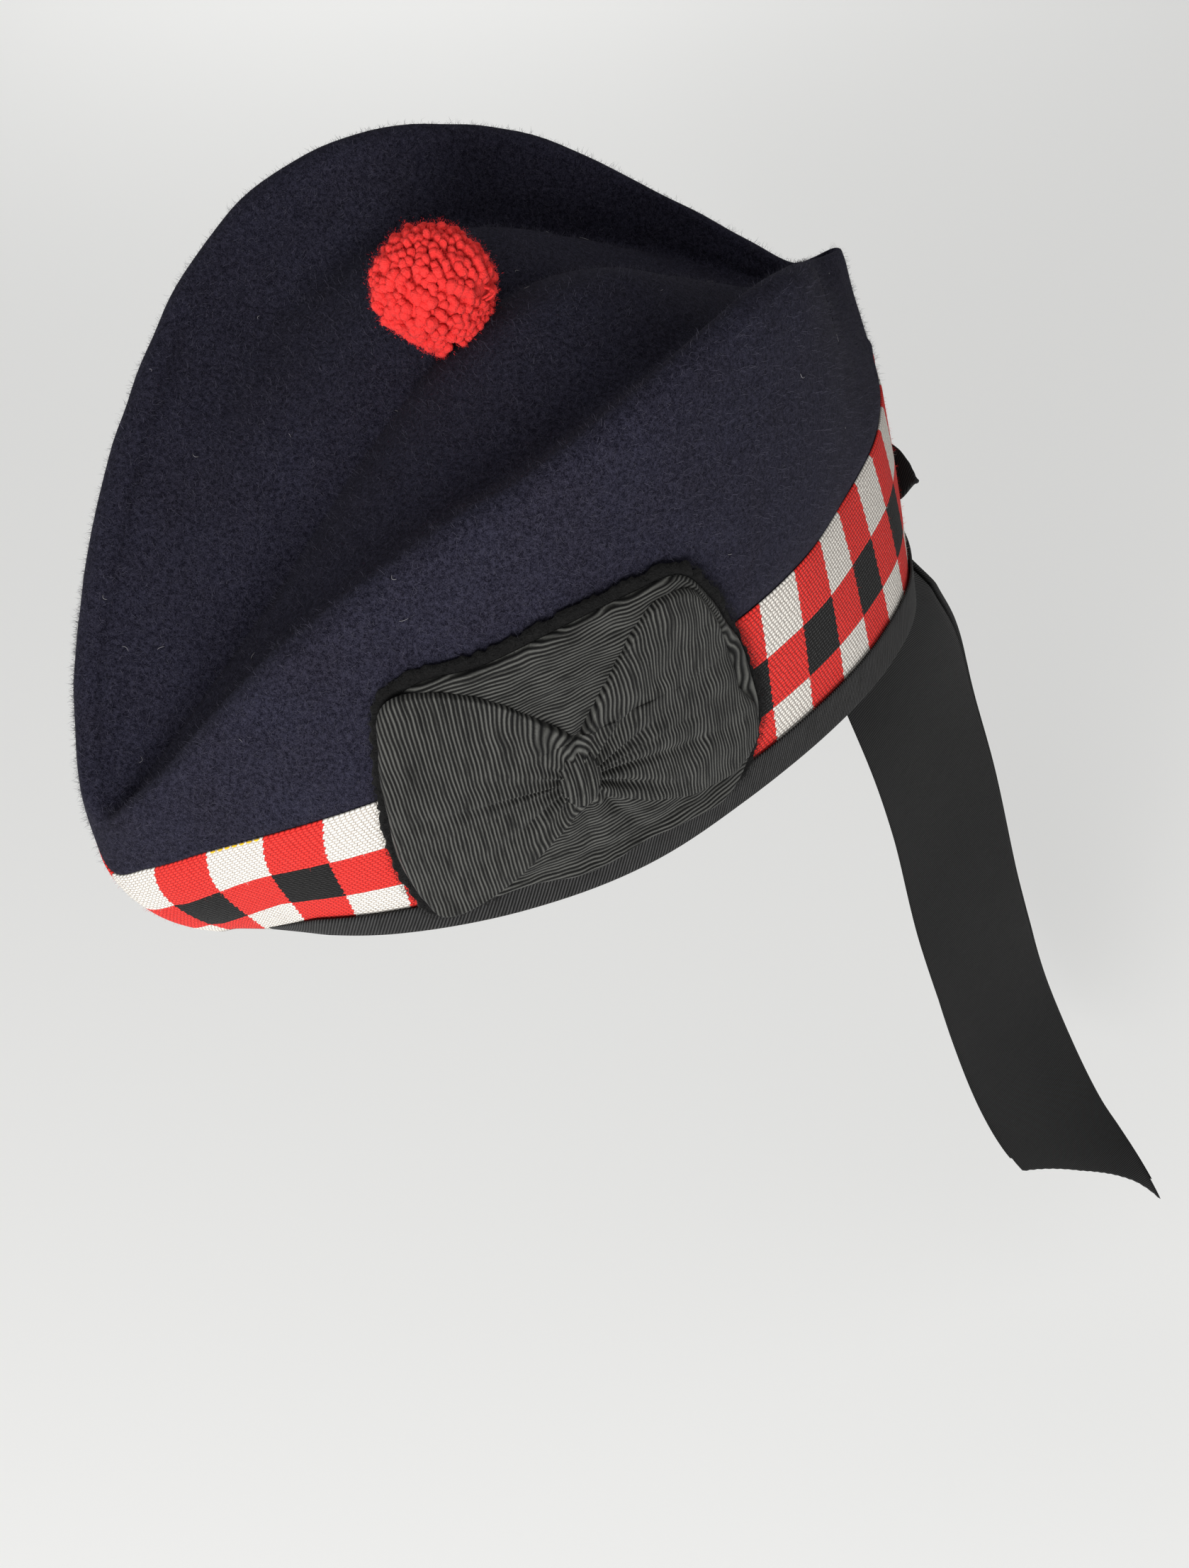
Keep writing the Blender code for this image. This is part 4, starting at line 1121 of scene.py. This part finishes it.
def make_rosette(backing, ribbon, fuzz):
    low = ROSETTE_SEAT
    pad = rosette_piece(
        "rosette_backing_cloth", BACKING_OUTLINE, low, backing, backing_height, rough_edge=0.0003
    )
    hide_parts("rosette_backing")
    angle = random.uniform(0.0, 2 * np.pi, FIBRES["rosette_backing_fuzz"][0])
    reach = outline_reach(BACKING_OUTLINE, angle) * random.uniform(0.90, 1.005, len(angle))
    x, y = reach * np.cos(angle), reach * np.sin(angle)
    places, over = (rosette_point(x, y, np.full_like(angle, low + off)) for off in (0.001, 0.002))
    hairs = add_fibres("rosette_backing_fuzz", places, unit(over - places), fuzz)
    low += ROSETTE_CLOTH + LAYER_GAP * 0.5
    upright = rosette_piece(
        "rosette_upright_loops", UPRIGHT_OUTLINE, low, ribbon, upright_height, wide=(2.3, 1.0)
    )
    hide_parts("rosette_upright_bow")
    low += ROSETTE_CLOTH + LAYER_GAP * 0.5
    cross = rosette_piece("rosette_cross_loops", CROSS_OUTLINE, low, ribbon, cross_height, wide=(1.0, 2.6))
    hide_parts("rosette_cross_bow")
    make_knot(low + ROSETTE_CLOTH, ribbon)


def make_knot(low, ribbon):
    """The gathered wrap over the middle, with pleats along its height."""
    rows, uv = [], []
    angle = turn_angles(KNOT_TURNS)
    for tilt in np.linspace(0.0, math.pi / 2, KNOT_LAYERS):
        x = KNOT_LENGTH * 0.5 * math.cos(tilt) * np.cos(angle)
        y = KNOT_HEIGHT * 0.52 * math.cos(tilt) * np.sin(angle)
        bowed = x + KNOT_BOW * y * y
        pleat = KNOT_PLEAT * np.cos(2 * np.pi * bowed / KNOT_PLEAT_PITCH) * math.sin(tilt)
        rows.append(rosette_point(x, y, low + KNOT_RISE * 0.8 * math.sin(tilt) + pleat))
        uv.append(np.stack([bowed, y], axis=1))
    rows = np.stack(rows)
    faces = grid_faces(KNOT_LAYERS, KNOT_TURNS, closed_columns=True)
    faces.append(list(range(KNOT_TURNS))[::-1])
    knot = add_mesh("rosette_knot_wrap", rows, faces, ribbon, uv=np.stack(uv))
    merge_close(knot, 1e-6)
    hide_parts("rosette_knot")


# Toorie
def felt_height(felt_tree, x, y):
    """Height of the felt's outer face under a point."""
    hit = felt_tree.ray_cast(Vector((x, y, 1.0)), Vector((0.0, 0.0, -1.0)))[0]
    return -1.0 if hit is None else hit.z


def dent(turn, height, sizes):
    """Depth of a rounded dent at a turn and a height away from its middle."""
    depth, wide, tall = sizes
    return depth * math.exp(-((turn / wide) ** 2) - (height / tall) ** 2)


def nub_tips(centre, felt_tree):
    """Ends of the yarn loops: evenly spread over a ball that is drawn in to a point at its foot."""
    golden = math.pi * (3 - math.sqrt(5))
    half_width = (TOORIE_WIDTH / 2 - NUB_RADIUS * 0.7) * TOORIE_SLIMMER
    half_height = TOORIE_HEIGHT / 2 - NUB_RADIUS * 0.5
    tips = []
    for i in range(NUB_COUNT):
        z = 1 - 2 * (i + 0.5) / NUB_COUNT
        around = golden * i + random.normal(0.0, NUB_SCATTER)
        low = max(0.0, -z)
        spread = math.sqrt(1 - z * z) * (1.0 - FOOT_NARROWING * low)
        reach = random.normal(1.0, NUB_REACH_SPREAD)
        reach = min(reach, 1.0) if z < -0.2 else reach
        drop = z * (1.0 + FOOT_DEEPENING * low)
        side_way = np.array([spread * math.cos(around), spread * math.sin(around), drop])
        tip = centre + side_way * np.array([half_width, half_width, half_height]) * reach
        tip = tip + np.array(TOORIE_FOOT_ASIDE) * low
        notch = dent(around % (2 * math.pi) - TOORIE_NOTCH, z - TOORIE_NOTCH_HEIGHT, NOTCH_SIZES)
        away = (around - TOORIE_NOTCH + math.pi) % (2 * math.pi) - math.pi
        below = dent(away, z - TOORIE_LOW_DENT_HEIGHT, LOW_DENT_SIZES)
        tip = tip + (centre - tip) * max(notch, below)
        if tip[2] > felt_height(felt_tree, tip[0], tip[1]) + NUB_RADIUS * 0.3:
            tips.append((tip, z))
    return tips


def add_nubs(tips, root, yarn):
    """Rounded ends of the yarn, each pointing out from the gathered foot."""
    points, faces, first = [], [], 0
    sides, rings = NUB_SIDES, NUB_RINGS
    angle = turn_angles(sides)
    for tip, z in tips:
        way = unit(tip - root + random.normal(0.0, NUB_WAY_SPREAD, 3))
        across = unit(np.cross(way, np.array([0.3, 0.5, 0.81])))
        over = np.cross(way, across)
        radius = NUB_RADIUS * random.uniform(0.84, 1.2) * (0.92 if z > 0.75 else 1.0)
        high_up = z > LOW_NUB_HEIGHT
        flat = random.uniform(0.75, 1.05) if high_up else random.uniform(0.9, 1.35)
        radius *= 1.0 if high_up else 0.84
        for k in range(rings):
            if k < 2:
                back, wide = NUB_STEM * (1 - 0.6 * k), radius * (0.78 + 0.18 * k)
            else:
                tilt = 0.49 * math.pi * (k - 2) / (rings - 3)
                back, wide = radius * (1 - math.sin(tilt)), radius * max(0.12, math.cos(tilt))
            lump = (wide * random.normal(1.0, NUB_LUMPS, sides))[:, None]
            ring = across * np.cos(angle)[:, None] * lump + over * np.sin(angle)[:, None] * lump * flat
            points.append(tip - way * back + ring)
        faces += tube_faces(rings, sides, first)
        first += rings * sides
    body = add_mesh("toorie_yarn", np.concatenate(points), faces, yarn)
    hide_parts("toorie")


def add_stray_loops(centre, yarn):
    """Two thin loops of yarn that stand out of the notch."""
    out = np.array([math.cos(TOORIE_NOTCH), math.sin(TOORIE_NOTCH), TOORIE_NOTCH_HEIGHT])
    beside = np.array([-math.sin(TOORIE_NOTCH), math.cos(TOORIE_NOTCH), 0.0])
    t = np.linspace(0.0, math.pi, 14)[:, None]
    loops = []
    for reach, wide, rise in ((0.0034, 0.0009, -0.0009), (0.0026, 0.0013, -0.0006)):
        bowed = centre + out * (0.0105 + reach * np.sin(t)) + beside * wide * np.cos(t)
        loops.append(bowed + np.array([0.0, 0.0, rise]) * t)
    strays = add_threads("toorie_loops", loops, 0.00030, yarn, sides=6)


def make_toorie(yarn, fuzz, felt_tree):
    """A pompom of yarn ends, with fuzz, stray loops and a core that closes the gaps."""
    low, high = (np.array(corner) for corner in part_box("toorie"))
    centre = (low + high) / 2
    centre[2] = high[2] - TOORIE_HEIGHT / 2
    centre = centre + np.array(TOORIE_SHIFT)
    root = centre - np.array([0.0, 0.0, TOORIE_HEIGHT * 0.30])
    tips = nub_tips(centre, felt_tree)
    add_nubs(tips, root, yarn)
    ends = np.array([tip for tip, z in tips])
    chosen = ends[random.integers(0, len(ends), FIBRES["toorie_fuzz"][0])]
    ways = unit(chosen - root)
    places = chosen - ways * random.uniform(0.0, 0.0014, (len(ways), 1))
    places = places + random.normal(0.0, 0.0006, chosen.shape)
    hairs = add_fibres("toorie_fuzz", places, ways, fuzz)
    add_stray_loops(centre, yarn)
    core_points, core_faces = ball(centre, (TOORIE_WIDTH / 2 - 0.0032, TOORIE_HEIGHT / 2 - 0.0032))
    core = add_mesh("toorie_core", core_points, core_faces, yarn)


def ball(centre, half_sizes, sides=24, rings=12):
    """A closed ball, drawn in at its foot as the nubs are."""
    angle = turn_angles(sides)
    rows = []
    for tilt in np.linspace(-0.48 * np.pi, 0.48 * np.pi, rings):
        wide = half_sizes[0] * math.cos(tilt) * (1.0 - 0.34 * max(0.0, -math.sin(tilt)))
        height = np.full(sides, half_sizes[1] * math.sin(tilt))
        rows.append(centre + np.stack([wide * np.cos(angle), wide * np.sin(angle), height], axis=1))
    return np.concatenate(rows), tube_faces(rings, sides)


# Ribbon at the back
def tail_value(name, along):
    column = TAIL_COLUMNS.index(name)
    knots = [row[0] for row in TAIL_ROUTE]
    return smooth(knots, [row[column] for row in TAIL_ROUTE], along, odd=True)


def tail_root():
    off = 3 * GAP + BINDING_CLOTH + RIBBON / 2
    root = side_off(np.array(1.0), np.array(TAIL_ROOT_SHARE), np.array(off))
    return root + np.array([TAIL_ROOT_ASIDE, 0.0, 0.0])


def tail_frame(along):
    def middle(at):
        place = [tail_value(column, at) * TAIL_LENGTH for column in ("left", "back", "down")]
        return vectors(place[0], place[1], -place[2]) + tail_root()

    step = 1e-3
    run = unit(middle(along + step) - middle(along - step))
    turn = np.radians(tail_value("turn", along))
    face = unit(np.cross(vectors(np.cos(turn), np.sin(turn), 0.0), run))
    return middle(along), np.cross(run, face), face


def tail_point(along, across, off):
    shear = along * (1.0 - TAIL_SLANT / TAIL_LENGTH * (0.5 - across))
    middle, wide, face = tail_frame(shear)
    run = np.clip(along / TAIL_GATHER_RUN, 0.0, 1.0)
    gather = TAIL_GATHER + (1.0 - TAIL_GATHER) * run * run * (3 - 2 * run)
    return middle + wide * TAIL_WIDTH * (across * gather)[..., None] + face * off[..., None]


def make_tail(name, node, spreads, length_share, aside, ribbon):
    """A hanging ribbon with a slanting cut end. spreads says how far it lies behind the left tail's face at
    the root and further down, and aside how far it is shifted sideways along its length."""
    along = np.linspace(0.0, length_share, TAIL_STEPS)
    across = np.linspace(-0.5, 0.5, TAIL_CELLS + 1)
    along_grid, across_grid = np.meshgrid(along, across, indexing="ij")
    tooth = (np.arange(TAIL_CELLS + 1) % 2) * 2.0 - 1.0
    near_end = np.clip((along_grid - length_share + 0.012) / 0.012, 0.0, 1.0)
    along_grid = along_grid + near_end * tooth[None] * TAIL_TEETH
    end_cut = np.interp(across, *zip(*TAIL_END_CUT)) / TAIL_LENGTH
    last_fifth = np.clip((along_grid - 0.8 * length_share) / (0.2 * length_share), 0.0, 1.0)
    along_grid = along_grid + last_fifth * end_cut[None]
    shift = np.interp(along_grid, *zip(*aside))
    spread = spreads[0] + (spreads[1] - spreads[0]) * np.clip(along_grid / TAIL_SPREAD_RUN, 0.0, 1.0)
    wave = TAIL_WAVE * np.sin(along_grid * 19.0 + across_grid * 2.2) * np.clip(along_grid * 5, 0.0, 1.0)
    curl = -TAIL_CURL * (2 * across_grid) ** 4 * np.clip((along_grid - 0.9) / 0.1, 0.0, 1.0)
    thick = TAIL_HALF_CLOTH * (1.0 - 0.7 * (np.abs(2 * across_grid) > 0.99))
    front = tail_point(along_grid, across_grid + shift, spread + wave + curl + thick)
    back = tail_point(along_grid, across_grid + shift, spread + wave + curl - thick)
    run = along_grid * (TAIL_LENGTH - TAIL_SLANT * (0.5 - across_grid))
    run = run + TAIL_RIB_SLANT * across_grid * TAIL_WIDTH
    uv = np.stack([run, across_grid * TAIL_WIDTH], axis=-1).reshape(-1, 2)
    faces = sheet_faces(TAIL_STEPS, TAIL_CELLS + 1)
    points = np.concatenate([front.reshape(-1, 3), back.reshape(-1, 3)])
    tail = add_mesh(name, points, faces, ribbon, uv=np.tile(uv, (2, 1)))
    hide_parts(node)


def make_tie(ribbon):
    """Flat tied ribbon with a pinched middle, over the roots of the tails."""
    share = np.linspace(-1.0, 1.0, TIE_COLUMNS)
    # Shares of half the tie's length, with the heights of its lower and upper edges on the band
    knots, lows, highs = zip(*TIE_OUTLINE)
    low, high = smooth(knots, lows, share), smooth(knots, highs, share)
    off = GAP + BINDING_CLOTH + 2 * GAP + TIE_CLOTH / 2
    rows, uv = [], []
    tilt = turn_angles(TIE_TURNS)
    for s, bottom, top in zip(share, low, high):
        height = (bottom + top) / 2 + (top - bottom) / 2 * np.sign(np.cos(tilt)) * np.abs(np.cos(tilt)) ** 0.7
        pinch = math.exp(-((s / TIE_PINCH) ** 2))
        fold = TIE_FOLD * np.cos(2 * np.pi * (height - bottom) / TIE_FOLD_PITCH) * (0.3 + pinch)
        depth = off + TIE_CLOTH / 2 * np.sin(tilt) * (1.0 + 0.5 * pinch) + fold * (np.sin(tilt) > 0)
        place = side_off(np.ones(TIE_TURNS), height, depth)
        rows.append(place + np.array([TIE_HALF_LENGTH * s, -TIE_SAG * s * s, 0.0]))
        uv.append(np.stack([np.full(TIE_TURNS, TIE_HALF_LENGTH * s), height * BAND_RISE], axis=1))
    faces = tube_faces(TIE_COLUMNS, TIE_TURNS)
    tie = add_mesh("back_tie_ribbon", np.stack(rows), faces, ribbon, uv=np.stack(uv))
    merge_close(tie, 1e-7)
    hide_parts("back_tie")


# Studio
CAMERA_AZIMUTH = math.radians(53.9516)
CAMERA_ELEVATION = math.radians(40.2634)
CAMERA_ROLL = math.radians(8.6195)
CAMERA_DISTANCE = 0.549893
FOCAL_PIXELS = 3132.509
PICTURE = (1678.0, 2212.0)
ORIGIN_PIXEL = (757.488, 949.512)
FLOOR_LEVEL = -0.36


def make_camera():
    """Camera that sees the origin at its pixel of the photograph, turned and not shifted."""
    a, e = CAMERA_AZIMUTH, CAMERA_ELEVATION
    back = np.array([math.sin(a) * math.cos(e), -math.cos(a) * math.cos(e), math.sin(e)])
    right = np.array([math.cos(a), math.sin(a), 0.0])
    up = np.cross(back, right)
    aside = (ORIGIN_PIXEL[0] - PICTURE[0] / 2) / FOCAL_PIXELS
    above = -(ORIGIN_PIXEL[1] - PICTURE[1] / 2) / FOCAL_PIXELS
    view = Vector((0.0, 0.0, -1.0)).rotation_difference(Vector((aside, above, -1.0)))
    roll = Matrix.Rotation(CAMERA_ROLL, 3, "Z")
    world_to_camera = view.to_matrix() @ roll @ Matrix([right, up, back])
    camera = bpy.data.objects.new("camera", bpy.data.cameras.new("camera"))
    place = world_to_camera.transposed().to_4x4()
    place.translation = Vector(back * CAMERA_DISTANCE)
    camera.matrix_world = place
    camera.data.sensor_width = 36.0
    camera.data.lens = FOCAL_PIXELS / PICTURE[1] * 36.0
    camera.data.clip_start = 0.01
    bpy.context.scene.collection.objects.link(camera)
    bpy.context.scene.camera = camera


def add_area_light(name, place, size, power, aim=(0.0, 0.02, 0.03), spread=180.0):
    light = bpy.data.lights.new(name, "AREA")
    light.shape = "DISK"
    light.size = size
    light.energy = power
    light.spread = math.radians(spread)
    obj = bpy.data.objects.new(name, light)
    obj.location = place
    obj.rotation_euler = (Vector(aim) - Vector(place)).to_track_quat("-Z", "Y").to_euler()
    bpy.context.scene.collection.objects.link(obj)


def make_studio():
    floor_mesh = bpy.data.meshes.new("floor")
    size = 6.0
    square = ((-size, -size), (size, -size), (size, size), (-size, size))
    floor_mesh.from_pydata([(x, y, FLOOR_LEVEL) for x, y in square], [], [(0, 1, 2, 3)])
    floor = bpy.data.objects.new("floor", floor_mesh)
    floor_mesh.materials.append(new_material("pale_floor", (0.93, 0.93, 0.915), 0.9)[0])
    bpy.context.scene.collection.objects.link(floor)
    world = bpy.data.worlds.new("studio")
    bpy.context.scene.world = world
    world.use_nodes = True
    world.node_tree.nodes["Background"].inputs[0].default_value = (1.0, 1.0, 1.0, 1.0)
    world.node_tree.nodes["Background"].inputs[1].default_value = 0.58
    add_area_light("key", (1.067, -1.185, 0.22), 0.8, 31.5)
    far = (-1.25, 0.95, 0.45)
    add_area_light("backdrop", far, 1.0, 1.2, aim=(far[0], far[1] + 0.001, FLOOR_LEVEL), spread=100.0)
    bpy.context.scene.view_settings.view_transform = "Standard"


make_camera()
make_studio()
navy = felt_material()
nap_cloth = plain_fibre_material("navy_nap", (0.0110, 0.0105, 0.0190))
lint_cloth = plain_fibre_material("pale_lint", (0.30, 0.29, 0.30))
fluff_cloth = plain_fibre_material("pale_navy_fluff", (0.048, 0.046, 0.063))
felt_tree = make_felt(navy, nap_cloth, fluff_cloth, lint_cloth)
make_band(dicing_material(), plain_fibre_material("yellow_thread", (0.72, 0.42, 0.02)))
# The binding's ribs: the first colour is the grooves' painted shade, the second the crests' own dark grey
# with painted highlight
make_binding(
    grosgrain_material(
        "binding_twill", 0.00082, (0.0004, 0.0004, 0.0004), (0.044, 0.043, 0.043), depth=0.0003, slant=0.45,
        specular=0.06,
    )
)
black_cloth = fuzzy_material("black_backing_cloth", (0.002, 0.002, 0.002), (0.012, 0.0115, 0.0115))
# The rosette's ribs: the first colour is the grooves' painted shade, the second the crests' own dark grey
# with painted highlight
rosette_ribbon = grosgrain_material(
    "rosette_grosgrain", RIB_PITCH, (0.0006, 0.0006, 0.0006), (0.074, 0.074, 0.068), depth=0.0003,
    uneven=0.9, specular=0.1,
)
make_rosette(black_cloth, rosette_ribbon, plain_fibre_material("black_fuzz", (0.010, 0.010, 0.010)))
make_toorie(yarn_material(), plain_fibre_material("red_fuzz", (0.92, 0.040, 0.038)), felt_tree)
# The tails' ribs: the first colour is the grooves' painted shade, the second the crests' own dark grey with
# painted highlight
tail_ribbon = grosgrain_material(
    "tail_grosgrain", RIB_PITCH, (0.0012, 0.0012, 0.0012), (0.0145, 0.0145, 0.0145), depth=0.00016,
    uneven=0.2, specular=0.08,
)
make_tie(tail_ribbon)
make_tail("tail_left_ribbon", "tail_left", (0.0, 0.0), 1.0, ((0.0, 0.0), (1.0, 0.0)), tail_ribbon)
right_spreads = (RIBBON + LAYER_GAP, TAIL_SPREAD)
make_tail(
    "tail_right_ribbon", "tail_right", right_spreads, RIGHT_TAIL_SHARE, RIGHT_TAIL_ASIDE, tail_ribbon
)
